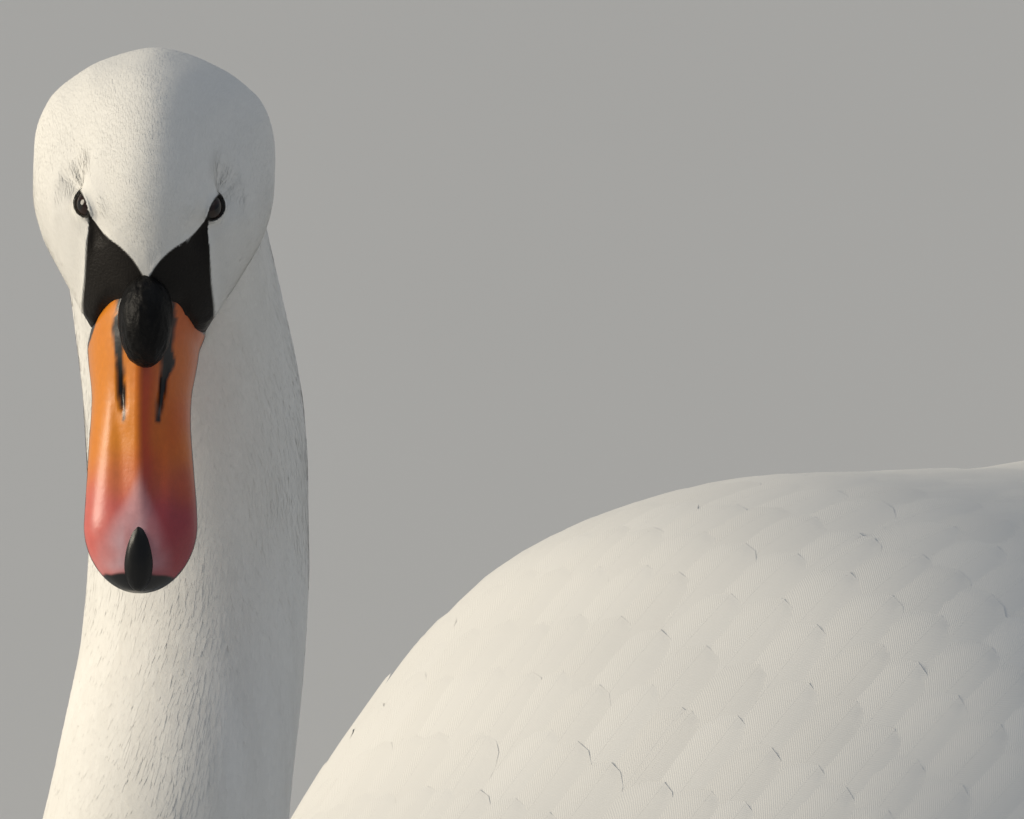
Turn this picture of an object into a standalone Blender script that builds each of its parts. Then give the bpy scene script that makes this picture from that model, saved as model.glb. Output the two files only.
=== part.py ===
"""Mute swan, adult male, life size, resting on its belly with its neck up and its head turned left.

Metres, +Z up. The swan's body faces -Y, its left side is +X, and it rests on the plane z = 0.
The head is drawn in its own frame: x to the swan's left, y backwards, z towards the crown,
with the origin midway between the eyes. S is the distance ahead of the eyes, so y = -S.
"""

import math

import bmesh
import bpy
import numpy as np
from mathutils import Matrix, Vector

for old in list(bpy.data.objects):
    bpy.data.objects.remove(old, do_unlink=True)

MM = 0.001
GAP = 0.35 * MM  # clearance between pieces that touch

# ---------------------------------------------------------------- driving dimensions
EYE_MIDPOINT = Vector((0.0233, -0.3594, 0.745))
HEAD_YAW = math.radians(35)  # head turned to the swan's left
HEAD_PITCH = math.radians(48)  # bill pointing down
HEAD_TWIST = math.radians(-1.6)

# Trunk, from the breast to the root of the tail: y, half width, top, bottom.
BREAST_Y, VENT_Y = -0.415, 0.318
BREAST_ROUND, VENT_ROUND = 0.120, 0.060  # how far each end takes to round off
TRUNK_FULLNESS = 0.90  # below 1 the section is fuller than an ellipse
TRUNK = [
    (-0.415, 0.110, 0.250, 0.080),
    (-0.35, 0.136, 0.268, 0.034),
    (-0.27, 0.154, 0.276, 0.003),
    (-0.15, 0.170, 0.286, -0.007),
    (0.00, 0.184, 0.310, -0.007),
    (0.10, 0.176, 0.316, -0.002),
    (0.20, 0.132, 0.290, 0.045),
    (0.27, 0.088, 0.262, 0.112),
    (0.318, 0.056, 0.240, 0.165),
]
TRUNK_RINGS, TRUNK_SIDES = 30, 40

# Neck, from inside the trunk to inside the head: x, y, z from the point midway between the eyes, radius.
NECK = [
    (-0.023, 0.145, -0.560, 0.092),
    (-0.023, 0.098, -0.490, 0.088),
    (-0.022, 0.048, -0.415, 0.068),
    (-0.022, 0.018, -0.340, 0.052),
    (-0.0200, 0.0290, -0.2685, 0.0445),
    (-0.0288, 0.0569, -0.2190, 0.0412),
    (-0.0345, 0.0696, -0.1750, 0.0404),
    (-0.0354, 0.0692, -0.1250, 0.0398),
    (-0.0320, 0.0547, -0.0680, 0.0372),
    (-0.0235, 0.0330, -0.0120, 0.0360),
]
NECK_RINGS, NECK_SIDES = 60, 28
NECK_CUTS = {"trunk": 0.215, "neck_lower": 0.45, "neck_middle": 0.68, "neck_upper": 0.915}

# Head: S, half width at the cheeks, top, bottom (mm, head frame).
HEAD_BACK, HEAD_FRONT, BILL_BASE = -62, 38, 31
HEAD = [
    (-62, 31, -1, -38),
    (-48, 39, 9, -47),
    (-30, 43.5, 16.5, -52),
    (-10, 43.5, 18.5, -55),
    (5, 40.0, 15.5, -55),
    (16, 33.0, 10.5, -52),
    (27, 26.5, 4.5, -49),
    (38, 21.5, -3.0, -47),
]
CHEEK_Z = -22  # height of the widest line of the cheeks
CROWN_NARROWING = 0.50
HEAD_RINGS, HEAD_SIDES = 22, 32
BASE_SLANT = 0.21  # the bill's base leans forward below

# The flesh is lofts run together: how fine they are joined, how softly, and the triangles kept.
FLESH_VOXEL, FLESH_SMOOTHING, FLESH_TRIANGLES = 0.0045, 12, 3100

# Bill, upper half: S, half width, culmen, cutting edge (mm, head frame).
BILL_ROOT, BILL_TIP = 22, 125.5
UPPER_BILL = [
    (22, 14.0, -8, -37.0),
    (31, 19.0, -4.5, -37.5),
    (42, 18.8, -8, -37.0),
    (60, 16.9, -15.5, -36.5),
    (80, 17.5, -22, -37.0),
    (98, 19.0, -27, -39.0),
    (108, 19.0, -29.5, -40.5),
    (125.5, 14.0, -36, -44.5),
]
# Lower half: S, half width, underside. Its top follows the upper half's cutting edge.
LOWER_TIP = 117.0
LOWER_BILL = [
    (22, 17.0, -47),
    (31, 17.0, -47.5),
    (60, 14.5, -46.5),
    (90, 15.5, -46.5),
    (117, 12.0, -46.5),
]
BILL_RINGS, BILL_SIDES = 13, 14

KNOB_CENTRE, KNOB_RADII, KNOB_LEAN = (39.5, -8.0), (9.3, 17.0, 12.5), 25
NAIL_CENTRE, NAIL_RADII, NAIL_LEAN = (114.0, -34.6), (5.2, 12.6, 4.6), 25
EYE_RADIUS, EYE_X = 6.2, 18.1

# Folded wing: y, half width, top, lower edge, depth of the feathers.
WING = [
    (-0.290, 0.140, 0.255, 0.190, 0.030),
    (-0.24, 0.157, 0.277, 0.170, 0.040),
    (-0.15, 0.174, 0.300, 0.150, 0.045),
    (-0.06, 0.188, 0.322, 0.142, 0.045),
    (0.03, 0.207, 0.351, 0.146, 0.045),
    (0.10, 0.213, 0.365, 0.160, 0.045),
    (0.18, 0.184, 0.354, 0.190, 0.036),
    (0.26, 0.135, 0.322, 0.224, 0.016),
    (0.34, 0.087, 0.290, 0.247, 0.009),
    (0.41, 0.048, 0.272, 0.256, 0.006),
]
WING_FULLNESS = 0.88
# Areas of the wing, in stations of one step along y, and in turns from the back (0) to the lower edge (90).
WING_FRONT, WING_STEP, WING_TIP = -0.290, 0.0383, 0.41
COVERTS, SCAPULARS, SECONDARIES = (0, 8), (2, 14), (8, 15)
SCAPULARS_TURN = 40
PRIMARIES_ROOT_TURN, PRIMARIES_TIP_TURN = (8, 88), (56, 66)

# Tail.
TAIL_ROOT_Y, TAIL_TIP_Y, TAIL_ROOT_HALF, TAIL_SPREAD = 0.262, 0.470, 0.046, 0.080
TAIL_ROOT_Z, TAIL_RISE, TAIL_ARCH = 0.213, 0.032, 0.020
TAIL_FEATHERS = 12

# Legs folded under the flanks.
FOOT_HEEL = Vector((0.117, 0.050, 0.0))
FOOT_TURN = 6  # degrees outwards
TOE_LENGTH, WEB_THICK, TOE_THICK = 0.128, 0.0026, 0.0095
TOE_ANGLES = (-17, 0, 16)
ANKLE = Vector((0.113, 0.158, 0.024))


# ---------------------------------------------------------------- materials
def material(name, colour, roughness, metallic=0.0):
    made = bpy.data.materials.new(name)
    made.use_nodes = True
    shader = made.node_tree.nodes["Principled BSDF"]
    shader.inputs["Base Color"].default_value = (*colour, 1)
    shader.inputs["Roughness"].default_value = roughness
    shader.inputs["Metallic"].default_value = metallic
    return made


PLUMAGE = material("plumage", (0.90, 0.88, 0.83), 0.85)
BILL_ORANGE = material("bill_orange", (0.85, 0.30, 0.07), 0.42)
BLACK_SKIN = material("black_skin", (0.015, 0.014, 0.014), 0.38)
HORN = material("horn", (0.01, 0.01, 0.01), 0.35)
EYE_BROWN = material("eye_brown", (0.03, 0.015, 0.01), 0.08)
FOOT_GREY = material("foot_grey", (0.05, 0.05, 0.055), 0.6)


# ---------------------------------------------------------------- curves
def through(table, x):
    """Values at x of a smooth curve through a table whose first column is x, with no overshoot."""
    rows = np.array(table, float)
    xs, ys = rows[:, 0], rows[:, 1:]
    step, rise = np.diff(xs)[:, None], np.diff(ys, axis=0)
    slope = rise / step
    inner = np.where(
        slope[:-1] * slope[1:] > 0,
        2 * slope[:-1] * slope[1:] / np.where(slope[:-1] + slope[1:] == 0, 1, slope[:-1] + slope[1:]),
        0,
    )
    tangent = np.vstack([slope[:1], inner, slope[-1:]])
    i = int(np.clip(np.searchsorted(xs, x) - 1, 0, len(xs) - 2))
    h = xs[i + 1] - xs[i]
    t = min(max((x - xs[i]) / h, 0.0), 1.0)
    a, b = 2 * t**3 - 3 * t**2 + 1, t**3 - 2 * t**2 + t
    value = a * ys[i] + b * h * tangent[i] + (1 - a) * ys[i + 1] + (t**3 - t**2) * h * tangent[i + 1]
    return value.tolist()


def rounding(x, end, length):
    """1 inside, falling to 0 at the end along a quarter of an ellipse."""
    t = min(abs(x - end) / length, 1.0)
    return math.sqrt(max(1 - (1 - t) ** 2, 0.0))


def eased(first, last, count):
    """Stations from first to last, closer together near both ends."""
    return [first + (last - first) * (1 - math.cos(math.pi * i / (count - 1))) / 2 for i in range(count)]


def smoothstep(x, low, high):
    t = min(max((x - low) / (high - low), 0.0), 1.0)
    return t * t * (3 - 2 * t)


def path_point(points, t):
    """Catmull-Rom curve through equally weighted points, t from 0 to 1."""
    rows = np.array(points, float)
    u = t * (len(rows) - 1)
    i = min(int(u), len(rows) - 2)
    f = u - i
    before, after = rows[max(i - 1, 0)], rows[min(i + 2, len(rows) - 1)]
    here, there = rows[i], rows[i + 1]
    value = 0.5 * (
        2 * here
        + (there - before) * f
        + (2 * before - 5 * here + 4 * there - after) * f**2
        + (3 * here - before - 3 * there + after) * f**3
    )
    return value.tolist()


# ---------------------------------------------------------------- solids
def add_solid(name, mesh, stuff):
    obj = bpy.data.objects.new(name, mesh)
    bpy.context.scene.collection.objects.link(obj)
    mesh.materials.clear()
    mesh.materials.append(stuff)
    mesh.shade_smooth()
    mesh.set_sharp_from_angle(angle=math.radians(50))
    return obj


def finish(name, work, stuff):
    """Turns bmesh work into a solid of triangles that face out."""
    bmesh.ops.recalc_face_normals(work, faces=work.faces)
    bmesh.ops.triangulate(work, faces=work.faces)
    mesh = bpy.data.meshes.new(name)
    work.to_mesh(mesh)
    work.free()
    return add_solid(name, mesh, stuff)


def loft(name, rings, stuff, first=None, last=None):
    """A closed skin over equal rings of points; each end closes to a point, or to its ring's centre."""
    work = bmesh.new()
    rows = [[work.verts.new(p) for p in ring] for ring in rings]
    for row, other in zip(rows, rows[1:]):
        for i in range(len(row)):
            j = (i + 1) % len(row)
            work.faces.new((row[i], row[j], other[j], other[i]))
    for row, pole in ((rows[0], first), (rows[-1], last)):
        centre = pole if pole is not None else sum((v.co for v in row), Vector()) / len(row)
        tip = work.verts.new(centre)
        for i in range(len(row)):
            work.faces.new((row[i], row[(i + 1) % len(row)], tip))
    return finish(name, work, stuff)


def plate(name, grid, stuff):
    """A closed plate over a grid of pairs of points, one on each face."""
    work = bmesh.new()
    verts = [[[work.verts.new(p) for p in pair] for pair in column] for column in grid]
    columns, rows = len(verts), len(verts[0])
    for column, other in zip(verts, verts[1:]):
        for j in range(rows - 1):
            for k in (0, 1):
                work.faces.new((column[j][k], other[j][k], other[j + 1][k], column[j + 1][k]))
    rim = [(i, 0) for i in range(columns)] + [(columns - 1, j) for j in range(1, rows)]
    rim += [(i, rows - 1) for i in range(columns - 2, -1, -1)] + [(0, j) for j in range(rows - 2, 0, -1)]
    for (i, j), (m, n) in zip(rim, rim[1:] + rim[:1]):
        work.faces.new((verts[i][j][0], verts[m][n][0], verts[m][n][1], verts[i][j][1]))
    return finish(name, work, stuff)


def apply(obj, kind, **settings):
    """Adds one modifier with these settings, and makes its result the object's own mesh."""
    bpy.context.view_layer.objects.active = obj
    step = obj.modifiers.new(kind.lower(), kind)
    for key, value in settings.items():
        setattr(step, key, value)
    bpy.ops.object.modifier_apply(modifier=step.name)


def cut(obj, *cutters):
    """Takes each cutter's volume away from the object, for good."""
    for cutter in cutters:
        apply(obj, "BOOLEAN", object=cutter, operation="DIFFERENCE", solver="EXACT")


def swollen(obj):
    """A cutter that is the object grown by the gap on every side."""
    mesh = obj.data.copy()
    grown = add_solid(f"around_{obj.name}", mesh, PLUMAGE)
    for vertex, place in zip(mesh.vertices, [v.co + v.normal * GAP * 1.15 for v in obj.data.vertices]):
        vertex.co = place
    grown.hide_render, grown.display_type = True, "WIRE"
    return grown


def drop(*helpers):
    for helper in helpers:
        bpy.data.objects.remove(helper, do_unlink=True)


# ---------------------------------------------------------------- flesh: trunk, neck and head as one form
def trunk_ring(y):
    """The trunk's section at y: a full oval, closing at both ends."""
    width, top, bottom = through(TRUNK, y)
    close = rounding(y, BREAST_Y, BREAST_ROUND) * rounding(y, VENT_Y, VENT_ROUND)
    middle, half = (top + bottom) / 2, (top - bottom) / 2
    ring = []
    for i in range(TRUNK_SIDES):
        a = 2 * math.pi * i / TRUNK_SIDES
        side = math.copysign(abs(math.cos(a)) ** TRUNK_FULLNESS, math.cos(a))
        rise = math.copysign(abs(math.sin(a)) ** TRUNK_FULLNESS, math.sin(a))
        ring.append(Vector((width * close * side, y, middle + half * close * rise)))
    return ring


def neck_place(t):
    """Centre, direction and radius of the neck at t, from 0 in the trunk to 1 in the head."""
    x, y, z, radius = path_point(NECK, t)
    ahead, behind = path_point(NECK, min(t + 0.01, 1)), path_point(NECK, max(t - 0.01, 0))
    along = (Vector(ahead[:3]) - Vector(behind[:3])).normalized()
    return EYE_MIDPOINT + Vector((x, y, z)), along, radius


def neck_ring(t):
    centre, along, radius = neck_place(t)
    left = (Vector((1, 0, 0)) - along * along.x).normalized()
    front = left.cross(along)
    turns = [2 * math.pi * i / NECK_SIDES for i in range(NECK_SIDES)]
    return [centre + radius * (left * math.cos(a) + front * math.sin(a)) for a in turns]


HEAD_FRAME = (
    Matrix.Translation(EYE_MIDPOINT)
    @ Matrix.Rotation(HEAD_YAW, 4, "Z")
    @ Matrix.Rotation(HEAD_PITCH, 4, "X")
    @ Matrix.Rotation(HEAD_TWIST, 4, "Z")
)


def in_head(side, ahead, up):
    """World place of a point of the head frame, given in mm."""
    return HEAD_FRAME @ (Vector((side, -ahead, up)) * MM)


def slanted(ahead, up, share):
    """Leans a station so that its lower part lies further forward."""
    return ahead + BASE_SLANT * share * (-20 - up)


def head_ring(ahead):
    """The head's section: wide low cheeks under a narrower crown."""
    width, top, bottom = through(HEAD, ahead)
    close = rounding(ahead, HEAD_BACK - 1.5, 26)
    top = CHEEK_Z + (top - CHEEK_Z) * close
    bottom = CHEEK_Z + (bottom - CHEEK_Z) * close
    lean = smoothstep(ahead, 0, BILL_BASE)
    ring = []
    for i in range(HEAD_SIDES):
        a = 2 * math.pi * i / HEAD_SIDES
        rise = math.sin(a)
        side = width * close * math.cos(a) * (1 - CROWN_NARROWING * max(rise, 0.0) ** 1.2)
        up = CHEEK_Z + ((top - CHEEK_Z) if rise > 0 else (CHEEK_Z - bottom)) * rise
        ring.append(in_head(side, slanted(ahead, up, lean), up))
    return ring


def slice_disc(t):
    """A thin disc across the neck, wider than it, to part the flesh there."""
    centre, along, radius = neck_place(t)
    bpy.ops.mesh.primitive_cylinder_add(vertices=32, radius=radius * 1.7, depth=GAP, location=centre)
    disc = bpy.context.object
    disc.rotation_mode = "QUATERNION"
    disc.rotation_quaternion = along.to_track_quat("Z", "Y")
    return disc


def make_flesh():
    """Trunk, neck and head run together smoothly, then parted by thin cuts."""
    stations = eased(BREAST_Y + 0.002, VENT_Y - 0.0015, TRUNK_RINGS)
    trunk = loft("trunk_form", [trunk_ring(y) for y in stations], PLUMAGE)
    neck = loft("neck_form", [neck_ring(i / (NECK_RINGS - 1)) for i in range(NECK_RINGS)], PLUMAGE)
    head = loft("head_form", [head_ring(s) for s in eased(HEAD_BACK, HEAD_FRONT, HEAD_RINGS)], PLUMAGE)
    for other in (neck, head):
        apply(trunk, "BOOLEAN", object=other, operation="UNION", solver="EXACT")
    drop(neck, head)
    apply(trunk, "REMESH", mode="VOXEL", voxel_size=FLESH_VOXEL)
    apply(trunk, "SMOOTH", factor=0.5, iterations=FLESH_SMOOTHING)
    trunk.data.calc_loop_triangles()
    apply(trunk, "DECIMATE", ratio=FLESH_TRIANGLES / len(trunk.data.loop_triangles))
    flatten_belly(trunk)
    return trunk


def flatten_belly(obj):
    """Cuts the belly off level at the floor, so that it rests on a flat face."""
    work = bmesh.new()
    work.from_mesh(obj.data)
    everything = list(work.verts) + list(work.edges) + list(work.faces)
    opened = bmesh.ops.bisect_plane(
        work, geom=everything, dist=1e-6, plane_co=(0, 0, 0), plane_no=(0, 0, -1), clear_outer=True
    )
    edge = [item for item in opened["geom_cut"] if isinstance(item, bmesh.types.BMEdge)]
    bmesh.ops.contextual_create(work, geom=edge)
    bmesh.ops.triangulate(work, faces=work.faces)
    work.to_mesh(obj.data)
    work.free()


def part_flesh(flesh):
    """Slices the flesh across the neck and names the lengths, from the trunk up."""
    for t in NECK_CUTS.values():
        disc = slice_disc(t)
        cut(flesh, disc)
        drop(disc)
    for obj in bpy.context.scene.objects:
        obj.select_set(obj is flesh)
    bpy.context.view_layer.objects.active = flesh
    bpy.ops.mesh.separate(type="LOOSE")
    lengths = sorted(bpy.context.selected_objects, key=lambda o: max(v.co.z for v in o.data.vertices))
    for obj, name in zip(lengths, list(NECK_CUTS) + ["head"], strict=True):
        obj.name = obj.data.name = name
    return lengths


# ---------------------------------------------------------------- wings and tail
def wing_point(y, turn, share):
    """A point of the folded left wing; turn 0 is the back, 90 the lower edge; share 0 outside, 1 inside."""
    width, top, low, depth = through(WING, y)
    a = math.radians(turn)
    x = width * math.sin(a) ** WING_FULLNESS - depth * share * math.sin(a)
    z = low + (top - low) * math.cos(a) ** WING_FULLNESS - depth * share * math.cos(a)
    return x, z


def wing_area(name, side, stations, turns, rows):
    """One area of the folded wing: a plate over the turns that it covers at each station."""
    grid = []
    for y, (first, last) in zip(stations, turns, strict=True):
        column = []
        for j in range(rows):
            turn = first + (last - first) * j / (rows - 1)
            pair = [wing_point(y, turn, share) for share in (0, 1)]
            column.append([Vector((side * max(x, GAP), y, z)) for x, z in pair])
        grid.append(column)
    return plate(name, grid, PLUMAGE)


def make_wing(side, word):
    """Coverts and secondaries on the flank, scapulars over the back, and the primaries behind them."""
    seam = 0.12  # degrees between the scapulars and the wing below them
    areas = []
    for name, (first, last), turns, rows in (
        ("wing_coverts", COVERTS, (SCAPULARS_TURN + seam, 90), 6),
        ("scapulars", SCAPULARS, (0, SCAPULARS_TURN), 5),
        ("secondaries", SECONDARIES, (SCAPULARS_TURN + seam, 90), 6),
    ):
        stations = [WING_FRONT + WING_STEP * k for k in range(first, last + 1)]
        if name == "wing_coverts":
            stations[-1] -= GAP
        areas.append(wing_area(f"{name}_{word}", side, stations, [turns] * len(stations), rows))
    root = WING_FRONT + WING_STEP * SECONDARIES[1] + GAP
    shares = [i / 6 for i in range(7)]
    stations = [root + (WING_TIP - root) * t for t in shares]
    ends = list(zip(PRIMARIES_ROOT_TURN, PRIMARIES_TIP_TURN, strict=True))
    turns = [[at_root + (at_tip - at_root) * t**1.6 for at_root, at_tip in ends] for t in shares]
    wing_area(f"primaries_{word}", side, stations, turns, 6)
    return areas


def make_tail():
    """A pointed fan of stiff feathers; the outline steps from one feather's tip to the next."""
    across, rows = 2 * TAIL_FEATHERS + 1, 3
    length = TAIL_TIP_Y - TAIL_ROOT_Y
    grid = []
    for i in range(across):
        u = 2 * i / (across - 1) - 1
        tip = abs(math.sin(math.pi * TAIL_FEATHERS * (u + 1) / 2))
        reach = length * (1 - 0.42 * abs(u) ** 1.25) - 0.008 * (1 - tip)
        column = []
        for j in range(rows):
            t = j / (rows - 1)
            half = TAIL_ROOT_HALF + (TAIL_SPREAD - TAIL_ROOT_HALF) * math.sin(math.pi / 2 * t)
            thick = 0.0085 * (1 - t) + 0.0014
            z = TAIL_ROOT_Z + TAIL_RISE * t - TAIL_ARCH * u * u * t
            place = Vector((u * half, TAIL_ROOT_Y + reach * t, z))
            column.append([place + Vector((0, 0, thick)), place - Vector((0, 0, thick))])
        grid.append(column)
    return plate("tail", grid, PLUMAGE)


# ---------------------------------------------------------------- bill, knob and eyes
def upper_outline(ahead):
    """Half width of the upper bill, its cutting edge, where it meets the lower half, and its culmen."""
    width, culmen, edge = through(UPPER_BILL, ahead)
    return width, edge, culmen


def lower_outline(ahead):
    """Half width of the lower bill, its upper face, and its underside."""
    width, underside = through(LOWER_BILL, ahead)
    return width, through(UPPER_BILL, ahead)[2] - GAP / MM, underside


def half_bill(name, outline, tip, stuff):
    """A half of the bill: domed on its outer side, flat where the two halves meet."""
    rings = []
    for i in range(BILL_RINGS):
        ahead = BILL_ROOT + (tip - 0.25 - BILL_ROOT) * math.sin(math.pi / 2 * i / (BILL_RINGS - 1))
        width, base, dome = outline(ahead)
        close = rounding(ahead, tip, 19)
        lean = 1 - smoothstep(ahead, BILL_BASE, 62)
        reach = (dome - base) * (0.35 + 0.65 * close)
        ring = []
        for k in range(BILL_SIDES):
            a = 2 * math.pi * k / BILL_SIDES
            side = width * close * math.copysign(abs(math.cos(a)) ** 0.8, math.cos(a))
            up = base + reach * max(math.sin(a), 0.0)
            ring.append(in_head(side, slanted(ahead, up, lean), up))
        rings.append(ring)
    return loft(name, rings, stuff)


def lump(name, centre, radii, lean, stuff, sides, rings):
    """An egg-shaped swelling on the bill, tilted nose down by lean degrees."""
    ahead, up = centre
    wide, long, high = radii
    turn = Matrix.Rotation(math.radians(lean), 3, "X")

    def place(x, y, z):
        q = turn @ Vector((x, y, z))
        return in_head(q.x, ahead - q.y, up + q.z)

    rows = []
    turns = [2 * math.pi * k / sides for k in range(sides)]
    for i in range(1, rings):
        b = math.pi * i / rings
        wider, higher = wide * math.sin(b), high * math.sin(b)
        rows.append([place(wider * math.cos(a), long * math.cos(b), higher * math.sin(a)) for a in turns])
    return loft(name, rows, stuff, place(0, long, 0), place(0, -long, 0))


def ball(name, place, radius, stuff):
    work = bmesh.new()
    bmesh.ops.create_uvsphere(work, u_segments=12, v_segments=8, radius=radius)
    bmesh.ops.transform(work, matrix=Matrix.Translation(place), verts=work.verts)
    return finish(name, work, stuff)


def make_head_pieces(head, around_flesh):
    """The bill is set into the head, and the eyes into their sockets."""
    upper = half_bill("bill_upper", upper_outline, BILL_TIP, BILL_ORANGE)
    lower = half_bill("bill_lower", lower_outline, LOWER_TIP, BILL_ORANGE)
    around_upper, around_lower = swollen(upper), swollen(lower)
    cut(head, around_upper, around_lower)
    knob = lump("knob", KNOB_CENTRE, KNOB_RADII, KNOB_LEAN, BLACK_SKIN, 16, 10)
    nail = lump("nail", NAIL_CENTRE, NAIL_RADII, NAIL_LEAN, HORN, 12, 8)
    cut(knob, around_flesh, around_upper)
    cut(nail, around_upper)
    for side, word in ((1, "left"), (-1, "right")):
        place = in_head(side * EYE_X, 0, 0)
        ball(f"eye_{word}", place, EYE_RADIUS * MM, EYE_BROWN)
        socket = ball("socket", place, EYE_RADIUS * MM + GAP, EYE_BROWN)
        cut(head, socket)
        drop(socket)
    drop(around_upper, around_lower)


# ---------------------------------------------------------------- legs
def make_foot(side, word):
    """Three long toes joined by webs, laid flat: a fan of rays from the heel, thick along each toe."""
    rays, rows = 15, 5
    low, high = TOE_ANGLES[0] - 5, TOE_ANGLES[-1] + 5
    heel = Vector((side * FOOT_HEEL.x, FOOT_HEEL.y, 0))
    grid = []
    for i in range(rays):
        angle = low + (high - low) * i / (rays - 1)
        nearest = min(abs(angle - toe) for toe in TOE_ANGLES)
        on_toe = math.exp(-((nearest / 3.2) ** 2))
        reach = TOE_LENGTH * (0.80 + 0.20 * on_toe) * (1 - 0.10 * (angle / TOE_ANGLES[0]) ** 2)
        column = []
        for j in range(rows):
            t = j / (rows - 1)
            r = 0.006 + (reach - 0.006) * t
            a = math.radians(angle + FOOT_TURN)
            toe = (TOE_THICK - WEB_THICK) * on_toe * (1 - 0.55 * t)
            swell = 0.006 * math.exp(-((t / 0.13) ** 2))
            place = heel + Vector((side * r * math.sin(a), -r * math.cos(a), 0))
            column.append([place + Vector((0, 0, WEB_THICK + toe + swell)), place])
        grid.append(column)
    return plate(f"foot_{word}", grid, FOOT_GREY)


def make_leg(side, word):
    """The tarsus on the ground from the heel back to the ankle, and the shank up into the flank."""
    start = Vector((side * FOOT_HEEL.x, FOOT_HEEL.y + GAP * 2 - 0.0055, 0.0075))
    ankle = Vector((side * ANKLE.x, ANKLE.y, ANKLE.z))
    shank = ankle + Vector((-side * 0.018, -0.050, 0.075))
    route = [tuple(p) for p in (start, start.lerp(ankle, 0.45), ankle, shank)]
    radii = [(0.0068,), (0.0066,), (0.0115,), (0.020,)]
    rings = []
    for i in range(11):
        t = i / 10
        centre, radius = Vector(path_point(route, t)), path_point(radii, t)[0]
        ahead, behind = path_point(route, min(t + 0.02, 1)), path_point(route, max(t - 0.02, 0))
        along = (Vector(ahead) - Vector(behind)).normalized()
        across = (Vector((1, 0, 0)) - along * along.x).normalized()
        other = across.cross(along)
        turns = [2 * math.pi * k / 10 for k in range(10)]
        ring = [centre + radius * (across * math.cos(a) + other * math.sin(a)) for a in turns]
        for p in ring:
            p.z = max(p.z, 0.0)
            p.y = max(p.y, FOOT_HEEL.y + GAP) if t < 0.1 else p.y
        rings.append(ring)
    return loft(f"leg_{word}", rings, FOOT_GREY)


# ---------------------------------------------------------------- the whole bird
def centre_on_floor():
    """Puts the origin under the middle of the bird's box, on the plane it rests on."""
    shown = [o for o in bpy.context.scene.collection.objects if o.type == "MESH"]
    corners = np.array([tuple(v.co) for o in shown for v in o.data.vertices])
    low, high = corners.min(0), corners.max(0)
    shift = Matrix.Translation((-(low[0] + high[0]) / 2, -(low[1] + high[1]) / 2, 0))
    for o in shown:
        o.data.transform(shift)


def build():
    flesh = make_flesh()
    around_flesh = swollen(flesh)
    *_, head = part_flesh(flesh)
    make_head_pieces(head, around_flesh)
    cut(make_tail(), around_flesh)
    for side, word in ((1, "left"), (-1, "right")):
        for area in make_wing(side, word):
            cut(area, around_flesh)
        cut(make_foot(side, word), around_flesh)
        cut(make_leg(side, word), around_flesh)
    drop(around_flesh)
    centre_on_floor()


build()
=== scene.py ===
# %% [markdown]
# # A mute swan at rest, life size
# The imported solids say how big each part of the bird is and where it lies. This script dresses them:
# one skin under the plumage, many thousands of small feathers over it, the big feathers of the wings
# and tail one by one, and the bare parts, which are the bill, knob, nail, eyes and feet.
# Every size below is in metres unless it is multiplied by MM.

# %% Load the solids
import math

import bpy
import numpy as np
from mathutils import Matrix, Vector
from mathutils.bvhtree import BVHTree


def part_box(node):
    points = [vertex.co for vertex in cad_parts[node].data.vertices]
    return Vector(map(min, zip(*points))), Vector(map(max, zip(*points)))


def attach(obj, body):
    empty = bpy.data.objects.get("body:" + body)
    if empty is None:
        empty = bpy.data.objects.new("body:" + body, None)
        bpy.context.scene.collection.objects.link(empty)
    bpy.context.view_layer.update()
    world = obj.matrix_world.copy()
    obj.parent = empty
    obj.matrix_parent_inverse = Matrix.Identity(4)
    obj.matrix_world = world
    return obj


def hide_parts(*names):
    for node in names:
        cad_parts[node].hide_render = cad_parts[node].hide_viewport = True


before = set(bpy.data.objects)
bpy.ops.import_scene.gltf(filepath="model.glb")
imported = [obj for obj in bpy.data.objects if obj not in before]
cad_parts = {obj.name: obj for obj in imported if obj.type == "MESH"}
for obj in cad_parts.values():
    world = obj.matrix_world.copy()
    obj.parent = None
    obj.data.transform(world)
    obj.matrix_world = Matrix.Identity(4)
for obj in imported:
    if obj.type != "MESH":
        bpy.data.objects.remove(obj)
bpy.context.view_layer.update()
MM = 0.001

# %% [markdown]
# ## The head's own frame
# A swan's head is measured from the point midway between its eyes. The head is turned and points
# down, so its pieces are easier to shape in a frame of their own: side (to the swan's left), ahead
# (towards the bill) and up (towards the crown), in millimetres. Two small functions go back and forth.

# %% The head's frame
HEAD_YAW, HEAD_PITCH, HEAD_TWIST = math.radians(35), math.radians(48), math.radians(-1.6)


def middle(node):
    """Centre of a solid's box."""
    low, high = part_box(node)
    return (low + high) / 2


EYE_MIDPOINT = (middle("eye_left") + middle("eye_right")) / 2
EYE_RADIUS = (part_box("eye_left")[1].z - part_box("eye_left")[0].z) / 2 / MM
HEAD_TURN = np.array(
    Matrix.Rotation(HEAD_YAW, 3, "Z")
    @ Matrix.Rotation(HEAD_PITCH, 3, "X")
    @ Matrix.Rotation(HEAD_TWIST, 3, "Z")
)


def to_head(points):
    """Side, ahead and up in millimetres, for world points."""
    local = (np.asarray(points) - np.array(EYE_MIDPOINT)) @ HEAD_TURN / MM
    return local * (1, -1, 1)


def from_head(side, ahead, up):
    """World points for side, ahead and up in millimetres."""
    local = np.stack(np.broadcast_arrays(side, -np.asarray(ahead, float), up), -1) * MM
    return local @ HEAD_TURN.T + np.array(EYE_MIDPOINT)


def head_direction(side, ahead, up):
    """World direction of a head direction, one unit long."""
    turned = np.array((side, -ahead, up), float) @ HEAD_TURN.T
    return turned / np.linalg.norm(turned)


print("eyes midway at", tuple(round(v, 4) for v in EYE_MIDPOINT), "radius", round(EYE_RADIUS, 2), "mm")

# %% [markdown]
# ## Tools of the bench
# Selecting, applying a modifier and copying a solid come up again and again, so each gets a helper.
# A solid comes in as loose triangles, so a copy of it is merged before it is used.

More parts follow.
